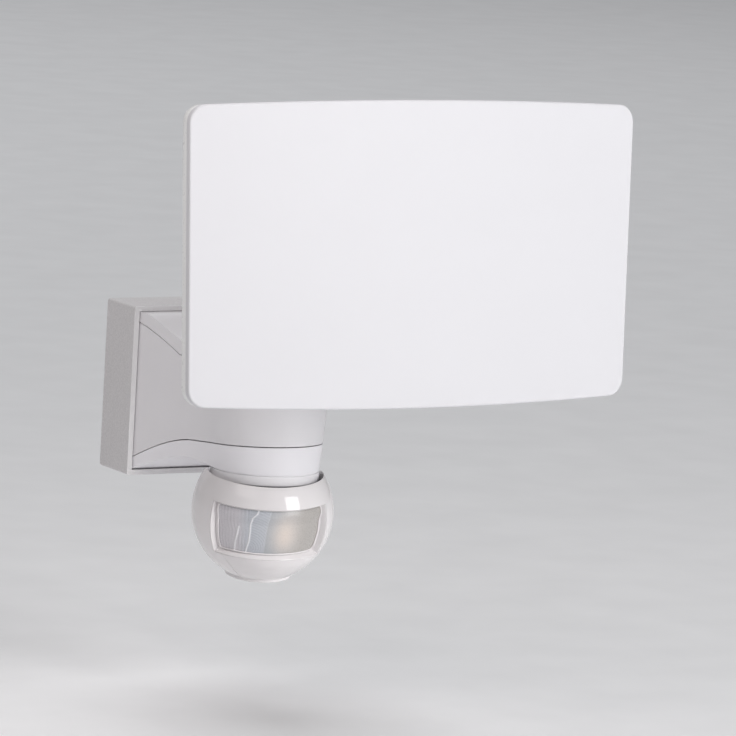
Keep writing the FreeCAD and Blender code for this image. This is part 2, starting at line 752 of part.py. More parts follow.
def elbow_neck():
    """Side outline of the neck from the cup to the barrel, with rounded long edges."""
    front = COLUMN_Y - ELBOW_R / 2
    run = COLUMN_Y - TILT_Y
    heel = side_point(front, ELBOW_Z + HEEL_LIFT)
    nape = side_point(front, ELBOW_TOP - NAPE_DROP)
    chin = side_point(TILT_Y - CHIN_BACK * BARREL_R, TILT_Z - CHIN_DROP * BARREL_R)
    crown = side_point(TILT_Y + CROWN_BACK * BARREL_R, TILT_Z + CROWN_LIFT * BARREL_R)
    chin_pull = Vector(0, CHIN_PULL[0] * run, CHIN_PULL[1] * run)
    crown_pull = Vector(0, CROWN_PULL[0] * run, CROWN_PULL[1] * run)
    lower = bezier(heel, heel - Vector(0, HEEL_PULL * run, 0), chin + chin_pull, chin)
    upper = bezier(crown, crown + crown_pull, nape - Vector(0, NAPE_PULL * run, 0), nape)
    neck = side_solid([lower, segment(chin, crown), upper, segment(nape, heel)], NECK_W / 2)
    curved = [edge for edge in neck.Edges if edge.Curve.TypeId == "Part::GeomBezierCurve"]
    return neck.makeFillet(NECK_FILLET, curved)


def elbow():
    """Swivel elbow: a round cup on the column and a neck that rises forward to the hinge barrel."""
    cup = upright(ELBOW_R, 0, COLUMN_Y, ELBOW_Z, ELBOW_TOP)
    cup = cup.makeFillet(ELBOW_TOP_FILLET, rims_at(cup, ELBOW_TOP))
    barrel = crosswise(BARREL_R, -BARREL_W / 2, BARREL_W / 2, TILT_Y, TILT_Z)
    return cup.fuse([elbow_neck(), barrel]).cut([
        upright(ELBOW_POCKET_R, 0, COLUMN_Y, ELBOW_Z + ELBOW_FLOOR, ELBOW_TOP + OVERRUN),
        upright(ELBOW_CAP_R + FACE_GAP, 0, COLUMN_Y, ELBOW_TOP - ELBOW_CAP_T, ELBOW_TOP + OVERRUN),
        upright(SWIVEL_TUBE_R + RUNNING_GAP, 0, COLUMN_Y, 0, ELBOW_TOP),
        crosswise(TILT_BOLT_R + RUNNING_GAP, -BARREL_W, BARREL_W, TILT_Y, TILT_Z),
    ])


def elbow_cap():
    """Push in cap that closes the elbow's cup."""
    seat = ELBOW_TOP - ELBOW_CAP_T
    disc = upright(ELBOW_CAP_R, 0, COLUMN_Y, seat, ELBOW_TOP)
    disc = disc.makeFillet(CAP_FILLET, rims_at(disc, ELBOW_TOP))
    skirt_r = ELBOW_POCKET_R - FACE_GAP
    skirt = upright(skirt_r, 0, COLUMN_Y, seat - CAP_SKIRT_H, seat + ELBOW_CAP_T / 2)
    return disc.fuse(skirt.cut(upright(skirt_r - CAP_SKIRT_T, 0, COLUMN_Y, 0, seat)))


def in_rest_tilt(shape):
    """Take a piece from the panel's own frame to its place, tipped back by the rest tilt."""
    placed = shape.copy()
    placed.rotate(Vector(0, 0, 0), Vector(1, 0, 0), -REST_TILT_DEG)
    placed.translate(Vector(0, TILT_Y, TILT_Z))
    return placed


def panel_prism(inset, y0, y1):
    """The panel's outline seen from the front, drawn in by the inset, between two depths."""
    half_top = PANEL_W / 2 + PANEL_TAPER / 2 - inset
    half_low = PANEL_W / 2 - PANEL_TAPER / 2 - inset
    crown = FACE_RISE + PANEL_H / 2 - inset
    sole = FACE_RISE - PANEL_H / 2 + inset
    top_left = Vector(-half_top, y0, crown - EDGE_BOW)
    top_right = Vector(half_top, y0, crown - EDGE_BOW)
    low_left = Vector(-half_low, y0, sole + EDGE_BOW)
    low_right = Vector(half_low, y0, sole + EDGE_BOW)
    edges = [
        Part.Arc(top_left, Vector(0, y0, crown), top_right).toShape(),
        segment(top_right, low_right),
        Part.Arc(low_right, Vector(0, y0, sole), low_left).toShape(),
        segment(low_left, top_left),
    ]
    solid = Part.Face(Part.Wire(edges)).extrude(Vector(0, y1 - y0, 0))
    corners = [edge for edge in solid.Edges if runs_inward(edge)]
    return solid.makeFillet(max(CORNER_R - inset, CORNER_MIN_R), corners)


def behind_face(depth):
    """Everything that lies at least this far behind the curved face of the panel."""
    return upright(FACE_R - depth, 0, FACE_APEX_Y + FACE_R, -PANEL_H, PANEL_H)


def curved_plate(inset, depth0, depth1):
    """A plate of the panel's outline that follows the bow of its face between two depths."""
    prism = panel_prism(inset, FACE_APEX_Y - OVERRUN, 0)
    return prism.common(behind_face(depth0)).cut(behind_face(depth1))


def diffuser():
    """Opal front, bowed across its width, with a rounded front edge."""
    sheet = curved_plate(0, 0, DIFFUSER_T)
    front = min(sheet.Faces, key=lambda face: face.CenterOfMass.y)
    return sheet.makeFillet(DIFFUSER_EDGE_R, front.OuterWire.Edges)


def head_frame():
    """Rim behind the diffuser."""
    ring = curved_plate(FRAME_STEP, DIFFUSER_T + FACE_GAP, RIM_DEPTH)
    body = ring.cut(panel_prism(FRAME_WALL, -BIG, 0))
    return body.cut(screw_bars(PANEL_SCREW_R + FACE_GAP / 2))


def screw_places():
    """Places of the panel screws, three along the top and three along the bottom."""
    places = []
    for x in (-PANEL_SCREW_X, 0, PANEL_SCREW_X):
        slope = EDGE_BOW * (x / (PANEL_W / 2)) ** 2
        for side in (-1, 1):
            z = FACE_RISE + side * (PANEL_H / 2 - PANEL_SCREW_INSET - slope)
            places.append((x, z))
    return places


def face_y(x, depth):
    """Depth coordinate of a point this far behind the face, at one distance from the middle."""
    radius = FACE_R - depth
    return FACE_APEX_Y + FACE_R - math.sqrt(radius ** 2 - x ** 2)


def screw_bars(radius):
    """Holes that stop short of the diffuser."""
    depth = DIFFUSER_T + PANEL_SCREW_BLIND
    bars = [inward(radius, x, z, face_y(x, depth), -TRAY_FLOOR) for x, z in screw_places()]
    return Part.makeCompound(bars)


def head_seal():
    """Flat silicone seal between the rim and the rear tray."""
    ring = curved_plate(SEAL_INSET, RIM_DEPTH, RIM_DEPTH + SEAL_T)
    return ring.cut(panel_prism(SEAL_INSET + SEAL_W, -BIG, 0))


def tray_block(inset, y0, y1):
    """The panel's outline with both ends sloping inward from the tray's flange to its back."""
    flange_back = face_y(PANEL_W / 2, RIM_DEPTH + SEAL_T) + TRAY_FLANGE_T
    solid = panel_prism(inset, y0, y1)
    for side in (-1, 1):
        edge_x = side * (PANEL_W / 2 - inset)
        foot_x = edge_x - side * TRAY_END_SLOPE
        outline = [
            Vector(edge_x, flange_back, FACE_RISE),
            Vector(foot_x, TRAY_BACK_Y, FACE_RISE),
            Vector(foot_x, TRAY_BACK_Y + OVERRUN, FACE_RISE),
            Vector(side * PANEL_W, TRAY_BACK_Y + OVERRUN, FACE_RISE),
            Vector(side * PANEL_W, flange_back, FACE_RISE),
        ]
        along = Vector(side * PANEL_TAPER, 0, PANEL_H - 2 * EDGE_BOW)
        beyond = Part.Face(Part.makePolygon(outline + outline[:1])).extrude(along * 2)
        solid = solid.cut(beyond.translated(along * -1))
    return solid


def heat_sink():
    """Cast aluminium rear tray with upright cooling fins, a hinge pad and two hinge ears."""
    flange_depth = RIM_DEPTH + SEAL_T + FACE_GAP / 2
    block = tray_block(TRAY_INSET, FACE_APEX_Y - OVERRUN, TRAY_BACK_Y)
    tray = block.common(behind_face(flange_depth))
    tray = tray.cut(tray_block(TRAY_INSET + TRAY_WALL, -BIG, TRAY_BACK_Y - TRAY_FLOOR))
    pad = box(
        -HINGE_PAD_W / 2, HINGE_PAD_W / 2,
        TRAY_BACK_Y - TRAY_FLOOR / 2, TRAY_BACK_Y + HINGE_PAD_T,
        -HINGE_PAD_H / 2, HINGE_PAD_H / 2,
    )
    body = tray.fuse([pad, ear(-1), ear(1)] + [fin(x) for x in fin_places()])
    bosses = []
    cuts = [crosswise(TILT_BOLT_R + FACE_GAP / 2, -HINGE_PAD_W, HINGE_PAD_W, 0, 0)]
    for x, z in screw_places():
        front = face_y(x, flange_depth + PANEL_BOSS_SINK)
        bosses.append(inward(PANEL_SCREW_BOSS_R, x, z, front, TRAY_BACK_Y).common(block))
        cuts.append(inward(PANEL_SCREW_R + FACE_GAP, x, z, -BIG, OVERRUN))
        cuts.append(inward(PANEL_SCREW_HEAD_R + 2 * FACE_GAP, x, z, TRAY_BACK_Y - PANEL_SCREW_HEAD, OVERRUN))
    return body.fuse(bosses).cut(cuts)


def fin_places():
    """Fins at a regular pitch on both sides of the hinge, as many as the panel's width takes."""
    room = PANEL_W / 2 - FIN_END_INSET - FIN_FIRST_X
    count = int(room / FIN_PITCH) + 1
    right = [FIN_FIRST_X + index * FIN_PITCH for index in range(count)]
    return [-x for x in right] + right


def fin(x):
    """One cooling fin: tallest beside the hinge, lower towards the panel's ends, with round ends."""
    share = 1 - (x / (PANEL_W / 2)) ** 2
    tip = TRAY_BACK_Y + FIN_MIN + (FIN_MAX - FIN_MIN) * share
    root = TRAY_BACK_Y - TRAY_FLOOR / 2
    half = FIN_H / 2
    turn = FIN_END_R
    bend = turn * (1 - math.sqrt(0.5))

    def place(y, z):
        return Vector(x - FIN_T / 2, y, FACE_RISE + z)

    edges = [
        segment(place(root, -half), place(tip - turn, -half)),
        Part.Arc(place(tip - turn, -half), place(tip - bend, bend - half), place(tip, turn - half)).toShape(),
        segment(place(tip, turn - half), place(tip, half - turn)),
        Part.Arc(place(tip, half - turn), place(tip - bend, half - bend), place(tip - turn, half)).toShape(),
        segment(place(tip - turn, half), place(root, half)),
        segment(place(root, half), place(root, -half)),
    ]
    return Part.Face(Part.Wire(edges)).extrude(Vector(FIN_T, 0, 0))


def ear_inner_x():
    return BARREL_W / 2 + TILT_WASHER_T + 2 * FACE_GAP


def ear(side):
    """One hinge ear: round at the tilt axis and spreading towards the tray."""
    x0 = ear_inner_x() if side > 0 else -ear_inner_x() - EAR_T
    foot = HINGE_PAD_H / 2 - EAR_FOOT_INSET
    root = TRAY_BACK_Y - TRAY_FLOOR / 2
    outline = [
        segment(Vector(x0, root, -foot), Vector(x0, 0, -BARREL_R)),
        Part.Arc(Vector(x0, 0, -BARREL_R), Vector(x0, BARREL_R, 0), Vector(x0, 0, BARREL_R)).toShape(),
        segment(Vector(x0, 0, BARREL_R), Vector(x0, root, foot)),
        segment(Vector(x0, root, foot), Vector(x0, root, -foot)),
    ]
    return Part.Face(Part.Wire(outline)).extrude(Vector(EAR_T, 0, 0))


def tilt_bolt():
    """Hinge bolt through both ears and the barrel."""
    end = ear_inner_x() + EAR_T
    shank = crosswise(TILT_BOLT_R, -end - BOLT_HEAD_H - BOLT_TAIL, end + FACE_GAP, 0, 0)
    head = hexagon(BOLT_HEAD_FLATS, Vector(end + FACE_GAP, 0, 0), Vector(1, 0, 0), BOLT_HEAD_H)
    return shank.fuse(head)


def tilt_nut():
    start = -ear_inner_x() - EAR_T - BOLT_HEAD_H - FACE_GAP
    nut = hexagon(BOLT_HEAD_FLATS, Vector(start, 0, 0), Vector(1, 0, 0), BOLT_HEAD_H)
    return nut.cut(crosswise(TILT_BOLT_R + FACE_GAP / 2, start - OVERRUN, 0, 0, 0))


def tilt_washers():
    """Friction washers on both sides of the hinge barrel."""
    washers = []
    for side in (-1, 1):
        start = BARREL_W / 2 + FACE_GAP
        ends = sorted((side * start, side * (start + TILT_WASHER_T)))
        disc = crosswise(TILT_WASHER_R, ends[0], ends[1], 0, 0)
        washers.append(disc.cut(crosswise(TILT_BOLT_R + FACE_GAP / 2, -BARREL_W, BARREL_W, 0, 0)))
    return Part.makeCompound(washers)


def led_board():
    """Aluminium lamp board on the floor of the tray."""
    back = TRAY_BACK_Y - TRAY_FLOOR
    return panel_prism(LED_BOARD_INSET, back - BOARD_T, back)


def led_chips():
    """Light emitting diodes in a regular grid."""
    front = TRAY_BACK_Y - TRAY_FLOOR - BOARD_T
    chips = []
    for column in range(LED_COLUMNS):
        for row in range(LED_ROWS):
            x = (column - (LED_COLUMNS - 1) / 2) * LED_PITCH_X
            z = FACE_RISE + (row - (LED_ROWS - 1) / 2) * LED_PITCH_Z
            half = LED_SIDE / 2
            chips.append(box(x - half, x + half, front - LED_T, front, z - half, z + half))
    return Part.makeCompound(chips)


def reflector():
    """White sheet funnel from the edge of the lamp board to the inside of the rim."""
    back = TRAY_BACK_Y - TRAY_FLOOR - BOARD_T - FACE_GAP
    front = face_y(0, RIM_DEPTH) - REFLECTOR_DROP
    foot = LED_BOARD_INSET + REFLECTOR_FOOT_INSET
    rim = FRAME_WALL + REFLECTOR_RIM_INSET
    outer = funnel(foot, rim, back, front)
    inner = funnel(foot + REFLECTOR_T, rim + REFLECTOR_T, back, front)
    return outer.cut(inner).common(behind_face(RIM_DEPTH))


def funnel(inset_back, inset_front, y_back, y_front):
    """Four sided funnel between two outlines of the panel."""
    wires = []
    for inset, y in ((inset_back, y_back), (inset_front, y_front)):
        half_top = PANEL_W / 2 + PANEL_TAPER / 2 - inset
        half_low = PANEL_W / 2 - PANEL_TAPER / 2 - inset
        half_high = PANEL_H / 2 - inset - EDGE_BOW
        corners = [
            Vector(-half_top, y, FACE_RISE + half_high),
            Vector(half_top, y, FACE_RISE + half_high),
            Vector(half_low, y, FACE_RISE - half_high),
            Vector(-half_low, y, FACE_RISE - half_high),
        ]
        wires.append(Part.makePolygon(corners + corners[:1]))
    return Part.makeLoft(wires, True, True)


def panel_screws():
    """Pan head screws from the back of the tray into the rim."""
    screws = []
    seat = TRAY_BACK_Y - PANEL_SCREW_HEAD
    reach = PANEL_SLOT_LENGTH / 2
    half = PANEL_SLOT_W / 2
    for x, z in screw_places():
        tip = face_y(x, RIM_DEPTH - PANEL_SCREW_BITE)
        head = inward(PANEL_SCREW_HEAD_R, x, z, seat, TRAY_BACK_Y)
        shank = inward(PANEL_SCREW_R, x, z, tip, seat)
        floor = TRAY_BACK_Y - PANEL_SLOT_DEPTH
        slot = box(x - reach, x + reach, floor, TRAY_BACK_Y + OVERRUN, z - half, z + half)
        screws.append(head.fuse(shank).cut(slot))
    return Part.makeCompound(screws)


def on_column(shape):
    """Take a piece from the ball's frame to the column's axis without turning it."""
    return shape.translated(Vector(0, COLUMN_Y, BALL_Z))


def panned(shape):
    """Take a piece of the yoke from the ball's frame to its place at the rest pan."""
    placed = shape.copy()
    placed.rotate(Vector(0, 0, 0), Vector(0, 0, 1), SENSOR_PAN_DEG)
    return on_column(placed)


def nosed(shape):
    """Take a piece of the sensor head from the ball's frame to its place at rest."""
    placed = shape.copy()
    placed.rotate(Vector(0, 0, 0), Vector(1, 0, 0), SENSOR_NOSE_DEG)
    return panned(placed)


def ball(radius):
    return Part.makeSphere(radius)


def sight_point(radius, elevation_deg):
    """A point straight ahead of the ball's centre, at one radius and elevation."""
    elevation = math.radians(elevation_deg)
    return Vector(0, -radius * math.cos(elevation), radius * math.sin(elevation))


def turned_sector(outline, half_deg):
    """Solid that an outline ahead of the ball sweeps from one heading to the opposite one."""
    face = Part.Face(Part.makePolygon(outline + outline[:1]))
    sector = face.revolve(Vector(0, 0, 0), Vector(0, 0, 1), 2 * half_deg)
    sector.rotate(Vector(0, 0, 0), Vector(0, 0, 1), -half_deg)
    return sector


def sight_wedge(half_deg, low_deg, top_deg):
    """The part of the ball's front seen between two headings and two elevations."""
    outline = [Vector(0, 0, 0), sight_point(SIGHT_REACH, low_deg), sight_point(SIGHT_REACH, top_deg)]
    return turned_sector(outline, half_deg)


def collar_sweep():
    """Room for the collar in the ball at every nose angle."""
    bars = []
    for index in range(COLLAR_SWEEP_STEPS + 1):
        lean = math.radians(SENSOR_NOSE_MAX_DEG * index / COLLAR_SWEEP_STEPS)
        axis = Vector(0, math.sin(lean), math.cos(lean))
        bars.append(Part.makeCylinder(COLUMN_R + COLLAR_GAP, 2 * BALL_R, Vector(0, 0, 0), axis))
    return bars


def cover_zone(grow):
    """The strap shaped region under the window that the lower cover takes from the ball."""
    top = COVER_TOP_Z + grow
    half_top = COVER_TOP_HALF + grow
    half_low = COVER_BOTTOM_HALF + grow
    beyond = BALL_R + OVERRUN
    outline = [
        Vector(-half_top, -beyond, top),
        Vector(half_top, -beyond, top),
        Vector(half_low, -beyond, -beyond),
        Vector(-half_low, -beyond, -beyond),
    ]
    face = Part.Face(Part.makePolygon(outline + outline[:1]))
    strap = face.extrude(Vector(0, 2 * beyond, 0))
    disc = upright(DIAL_BOSS_R + grow, 0, 0, -beyond, DIAL_BOSS_TOP + BALL_WALL)
    return strap.fuse(disc)


def sensor_shell():
    """Ball shell with its collar opening, its window and the opening for the lower cover."""
    shell = ball(BALL_R).cut(ball(BALL_R - BALL_WALL))
    shell = shell.cut(collar_sweep() + [window_opening(), cover_zone(COVER_GAP)])
    back = SENSOR_BOARD_Y + BOARD_T + FACE_GAP
    ribs = []
    for side in (-1, 1):
        ends = sorted((side * RIB_INNER_X, side * BALL_R))
        ribs.append(box(*ends, back, back + RIB_T, RIB_LOW, RIB_TOP).common(ball(BALL_R - BALL_WALL / 2)))
    skin = BALL_R - PIVOT_SKIN
    sockets = [
        crosswise(PIVOT_R + FACE_GAP / 2, skin - PIVOT_SOCKET, skin, 0, 0),
        crosswise(PIVOT_R + FACE_GAP / 2, -skin, PIVOT_SOCKET - skin, 0, 0),
    ]
    return shell.fuse(ribs).cut(sockets)


def window_opening():
    """The window as cut in the ball; the lower cover ends at its bottom edge too."""
    return sight_wedge(WINDOW_HALF_DEG, WINDOW_BOTTOM_DEG, WINDOW_TOP_DEG)


def window_bezel():
    """Bevelled frame set in the window of the ball, which holds the lens."""
    band = ball(BALL_R).cut(ball(LENS_INNER_R + FACE_GAP))
    frame = band.common(sight_wedge(
        WINDOW_HALF_DEG - WINDOW_FIT_DEG,
        WINDOW_BOTTOM_DEG + WINDOW_FIT_DEG,
        WINDOW_TOP_DEG - WINDOW_FIT_DEG,
    ))
    seat = sight_wedge(
        LENS_HALF_DEG + LENS_SEAT_DEG,
        LENS_BOTTOM_DEG - LENS_SEAT_DEG,
        LENS_TOP_DEG + LENS_SEAT_DEG,
    )
    return frame.cut([window_mouth(), seat.common(ball(LENS_R + FACE_GAP))])


def past_skin(inner, outer):
    """A point on the line of a bevel, a little outside the ball."""
    return inner + (outer - inner) * BEVEL_OVERSHOOT


def window_mouth():
    """The window's opening, with sloped bevels from the ball's surface down to the lens."""
    inner_low = sight_point(LENS_R, LENS_BOTTOM_DEG)
    inner_top = sight_point(LENS_R, LENS_TOP_DEG)
    outer_low = past_skin(inner_low, sight_point(BALL_R, WINDOW_BOTTOM_DEG + WINDOW_LIP_DEG))
    outer_top = past_skin(inner_top, sight_point(BALL_R, WINDOW_TOP_DEG - WINDOW_LIP_DEG))
    far_low = Vector(0, -SIGHT_REACH, outer_low.z)
    far_top = Vector(0, -SIGHT_REACH, outer_top.z)
    profile = [Vector(0, 0, 0), inner_low, outer_low, far_low, far_top, outer_top, inner_top]
    levels = turned_sector(profile, QUARTER_TURN_DEG)
    inner_side = heading_point(LENS_R, LENS_HALF_DEG)
    outer_side = past_skin(inner_side, heading_point(BALL_R, WINDOW_HALF_DEG - WINDOW_LIP_DEG))
    right = [inner_side, outer_side, Vector(outer_side.x, -SIGHT_REACH, -BALL_R)]
    left = [Vector(-point.x, point.y, point.z) for point in reversed(right)]
    outline = [Vector(0, 0, -BALL_R)] + right + left
    sides = Part.Face(Part.makePolygon(outline + outline[:1])).extrude(Vector(0, 0, 2 * BALL_R))
    return levels.common(sides)


def heading_point(radius, heading_deg):
    """A point under the ball's equator plane at one radius and heading, for outlines drawn in plan."""
    heading = math.radians(heading_deg)
    return Vector(radius * math.sin(heading), -radius * math.cos(heading), -BALL_R)


def lens_point(radius, column, row):
    """Corner of a lens facet."""
    half = LENS_HALF_DEG + LENS_EDGE_DEG
    low = LENS_BOTTOM_DEG - LENS_EDGE_DEG
    high = LENS_TOP_DEG + LENS_EDGE_DEG
    heading = math.radians(-half + 2 * half * column / LENS_COLUMNS)
    elevation = math.radians(low + (high - low) * row / LENS_ROWS)
    flat = radius * math.cos(elevation)
    return Vector(flat * math.sin(heading), -flat * math.cos(heading), radius * math.sin(elevation))


def facet(a, b, c, d):
    return Part.Face(Part.makePolygon([a, b, c, d, a]))


def sensor_lens():
    """Faceted lens: flat panes in columns and rows, inside and out, closed along their edges."""
    faces = []
    for radius in (LENS_R, LENS_INNER_R):
        for column in range(LENS_COLUMNS):
            for row in range(LENS_ROWS):
                low = [lens_point(radius, column, row), lens_point(radius, column + 1, row)]
                high = [lens_point(radius, column + 1, row + 1), lens_point(radius, column, row + 1)]
                faces.append(facet(*low, *high))
    for column in range(LENS_COLUMNS):
        for row in (0, LENS_ROWS):
            faces.append(edge_facet(column, row, column + 1, row))
    for row in range(LENS_ROWS):
        for column in (0, LENS_COLUMNS):
            faces.append(edge_facet(column, row, column, row + 1))
    shell = Part.makeShell(faces)
    shell.sewShape()
    solid = Part.makeSolid(Part.Shell(shell.Faces))
    return solid if solid.Volume > 0 else solid.reversed()


def edge_facet(column_a, row_a, column_b, row_b):
    """Strip that closes the lens between its outer and its inner panes."""
    return facet(
        lens_point(LENS_R, column_a, row_a), lens_point(LENS_R, column_b, row_b),
        lens_point(LENS_INNER_R, column_b, row_b), lens_point(LENS_INNER_R, column_a, row_a),
    )


def sensor_lower_cover():
    """Lower cover of the ball, from the window down to a flat boss with two dial holes."""
    shell = ball(BALL_R).cut(ball(BALL_R - BALL_WALL)).common(cover_zone(0))
    shell = shell.cut([window_opening(), box(-BIG, BIG, -BIG, BIG, -BIG, DIAL_BOSS_BOTTOM)])
    boss = upright(DIAL_BOSS_R, 0, 0, DIAL_BOSS_BOTTOM, DIAL_BOSS_TOP)
    body = shell.fuse(boss.makeFillet(DIAL_BOSS_FILLET, rims_at(boss, DIAL_BOSS_BOTTOM)))
    low = DIAL_BOSS_BOTTOM - OVERRUN
    cuts = []
    for side in (-1, 1):
        cuts.append(upright(DIAL_R + DIAL_GAP, side * DIAL_X, 0, low, DIAL_BOSS_BOTTOM + DIAL_H + DIAL_GAP))
        cuts.append(upright(DIAL_STEM_R + RUNNING_GAP, side * DIAL_X, 0, low, 0))
    return body.cut(cuts)


def dial(x):
    """Setting dial with a stem up to its trimmer and a driver slot."""
    top = DIAL_BOSS_BOTTOM + DIAL_H
    knob = upright(DIAL_R, x, 0, DIAL_BOSS_BOTTOM, top)
    knob = knob.makeChamfer(DIAL_CHAMFER, [edge for edge in knob.Edges if edge.isClosed()])
    stem = upright(DIAL_STEM_R, x, 0, top - DIAL_OVERLAP, trimmer_bottom() - FACE_GAP)
    reach = DIAL_R - DIAL_SLOT_INSET
    half = DIAL_SLOT / 2
    low = DIAL_BOSS_BOTTOM
    slot = box(x - half, x + half, -reach, reach, low - OVERRUN, low + DIAL_SLOT_DEPTH)
    return knob.fuse(stem).cut(slot)


def trimmer_bottom():
    return SENSOR_BOARD_LOW - TRIMMER_H


def sensor_board():
    return box(
        -SENSOR_BOARD_W / 2, SENSOR_BOARD_W / 2,
        SENSOR_BOARD_Y, SENSOR_BOARD_Y + BOARD_T,
        SENSOR_BOARD_LOW, SENSOR_BOARD_TOP,
    ).common(ball(BALL_R - BALL_WALL - SENSOR_BOARD_CLEAR))


def trimmers():
    """Two trimmers above their dials, each with a foot on the board that carries it."""
    low = SENSOR_BOARD_LOW
    half = TRIMMER_SIDE / 2
    blocks = []
    for side in (-1, 1):
        x = side * DIAL_X
        case = box(x - half, x + half, -half, half, trimmer_bottom(), low)
        foot = box(
            x - half, x + half,
            SENSOR_BOARD_Y + BOARD_T, half,
            low - TRIMMER_FOOT_LOW, low + TRIMMER_FOOT_HIGH,
        )
        blocks.append(case.fuse(foot))
    return Part.makeCompound(blocks)


def pir_element():
    """Round metal can of the heat detector with a flange and a square window."""
    front = SENSOR_BOARD_Y - PIR_H
    can = inward(PIR_R, 0, PIR_Z, front, SENSOR_BOARD_Y)
    rim = [edge for edge in can.Edges if edge.isClosed() and edge.BoundBox.YMax < front + TINY]
    can = can.makeFillet(PIR_FILLET, rim)
    flange = inward(PIR_R + PIR_FLANGE, 0, PIR_Z, SENSOR_BOARD_Y - PIR_FLANGE_T, SENSOR_BOARD_Y)
    window = box(
        -PIR_WINDOW_W / 2, PIR_WINDOW_W / 2,
        front - OVERRUN, front + PIR_WINDOW_DEPTH,
        PIR_Z - PIR_WINDOW_H / 2, PIR_Z + PIR_WINDOW_H / 2,
    )
    return can.fuse(flange).cut(window)


def skirt_r():
    return BALL_R - BALL_WALL - SKIRT_GAP


def sensor_yoke():
    """Turntable of the sensor: a hollow neck in the column, a plate, and a skirt with two lugs."""
    plate_top = COLUMN_BOTTOM - COLLAR_H - 2 * FACE_GAP - BALL_Z
    band = ball(skirt_r()).cut(ball(skirt_r() - SKIRT_T))
    low = skirt_r() * math.sin(math.radians(SKIRT_LOW_DEG))
    skirt = band.common(box(-BIG, BIG, -BIG, BIG, low, plate_top))
    lugs = band.common(box(-BIG, BIG, -LUG_HALF, LUG_HALF, LUG_LOW, low + LUG_OVERLAP))
    plate = upright(skirt_r(), 0, 0, plate_top - YOKE_PLATE_T, plate_top).common(ball(skirt_r()))
    floor_top = COLUMN_BOTTOM + BEARING_T - BALL_Z
    seat = floor_top + FACE_GAP
    neck = upright(NECK_TUBE_R, 0, 0, plate_top - YOKE_PLATE_T, seat + NECK_HEAD_T)
    head = upright(NECK_HEAD_R, 0, 0, seat, seat + NECK_HEAD_T)
    body = skirt.fuse([lugs, plate, neck, head])
    return body.cut([
        upright(NECK_TUBE_BORE_R, 0, 0, -BALL_R, BALL_R + BASE_H),
        crosswise(PIVOT_R + RUNNING_GAP, -BALL_R, BALL_R, 0, 0),
        sight_wedge(WINDOW_HALF_DEG + YOKE_SIGHT_DEG, WINDOW_BOTTOM_DEG, SKIRT_LOW_DEG + YOKE_BROW_DEG),
    ])


def pivot_pins():
    """Two short pins, fixed in the ball shell, that run in the lugs of the yoke."""
    outer = BALL_R - PIVOT_SKIN - FACE_GAP
    pins = [
        crosswise(PIVOT_R, outer - PIVOT_LENGTH, outer, 0, 0),
        crosswise(PIVOT_R, -outer, -outer + PIVOT_LENGTH, 0, 0),
    ]
    return Part.makeCompound(pins)


def build():
    os.makedirs("parts", exist_ok=True)
    save("wall_base", wall_base())
    save("cable_grommet", cable_grommet())
    save("terminal_block", terminal_block())
    save("terminal_screws", terminal_screws())
    save("lock_screws", lock_screws())
    save("arm_housing", arm_housing())
    save("arm_top_cover", arm_top_cover())
    save("arm_bottom_cover", arm_bottom_cover())
    save("sensor_collar", sensor_collar())
    save("driver_board", driver_board())
    save("driver_coil", driver_coil())
    save("driver_capacitor", driver_capacitor())
    save("swivel_tube", swivel_tube())
    save("swivel_nut", swivel_nut())
    save("friction_washer", friction_washer())
    save("spring_washer", spring_washer())
    save("elbow", elbow())
    save("elbow_cap", elbow_cap())
    save("diffuser", in_rest_tilt(diffuser()))
    save("head_frame", in_rest_tilt(head_frame()))
    save("head_seal", in_rest_tilt(head_seal()))
    save("heat_sink", in_rest_tilt(heat_sink()))
    save("tilt_bolt", in_rest_tilt(tilt_bolt()))
    save("tilt_nut", in_rest_tilt(tilt_nut()))
    save("tilt_washers", in_rest_tilt(tilt_washers()))
    save("led_board", in_rest_tilt(led_board()))
    save("led_chips", in_rest_tilt(led_chips()))
    save("reflector", in_rest_tilt(reflector()))
    save("panel_screws", in_rest_tilt(panel_screws()))
    save("sensor_yoke", panned(sensor_yoke()))
    save("sensor_shell", nosed(sensor_shell()))
    save("window_bezel", nosed(window_bezel()))
    save("sensor_lens", nosed(sensor_lens()))
    save("sensor_lower_cover", nosed(sensor_lower_cover()))
    save("sensor_board", nosed(sensor_board()))
    save("pir_element", nosed(pir_element()))
    save("trimmers", nosed(trimmers()))
    save("pivot_pins", nosed(pivot_pins()))
    save("time_dial", nosed(dial(-DIAL_X)))
    save("twilight_dial", nosed(dial(DIAL_X)))


build()
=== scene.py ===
"""Looks of a motion sensor wall light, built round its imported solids. Metres, in the part's own frame."""

import json
import math

import bpy
from mathutils import Matrix, Vector


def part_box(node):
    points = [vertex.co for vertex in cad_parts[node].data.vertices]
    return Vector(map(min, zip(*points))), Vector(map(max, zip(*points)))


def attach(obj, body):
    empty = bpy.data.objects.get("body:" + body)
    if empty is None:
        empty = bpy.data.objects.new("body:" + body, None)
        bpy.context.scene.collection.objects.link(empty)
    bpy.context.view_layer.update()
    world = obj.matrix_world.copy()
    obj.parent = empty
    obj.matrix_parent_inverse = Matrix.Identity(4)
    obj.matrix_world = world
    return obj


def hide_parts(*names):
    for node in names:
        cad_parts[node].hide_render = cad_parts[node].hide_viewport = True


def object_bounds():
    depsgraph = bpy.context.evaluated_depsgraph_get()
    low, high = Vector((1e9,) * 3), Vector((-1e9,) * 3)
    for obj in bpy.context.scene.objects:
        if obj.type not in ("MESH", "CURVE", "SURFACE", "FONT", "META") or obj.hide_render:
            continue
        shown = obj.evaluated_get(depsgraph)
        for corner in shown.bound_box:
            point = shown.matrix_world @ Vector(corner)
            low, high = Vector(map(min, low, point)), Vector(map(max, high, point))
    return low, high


MM = 0.001

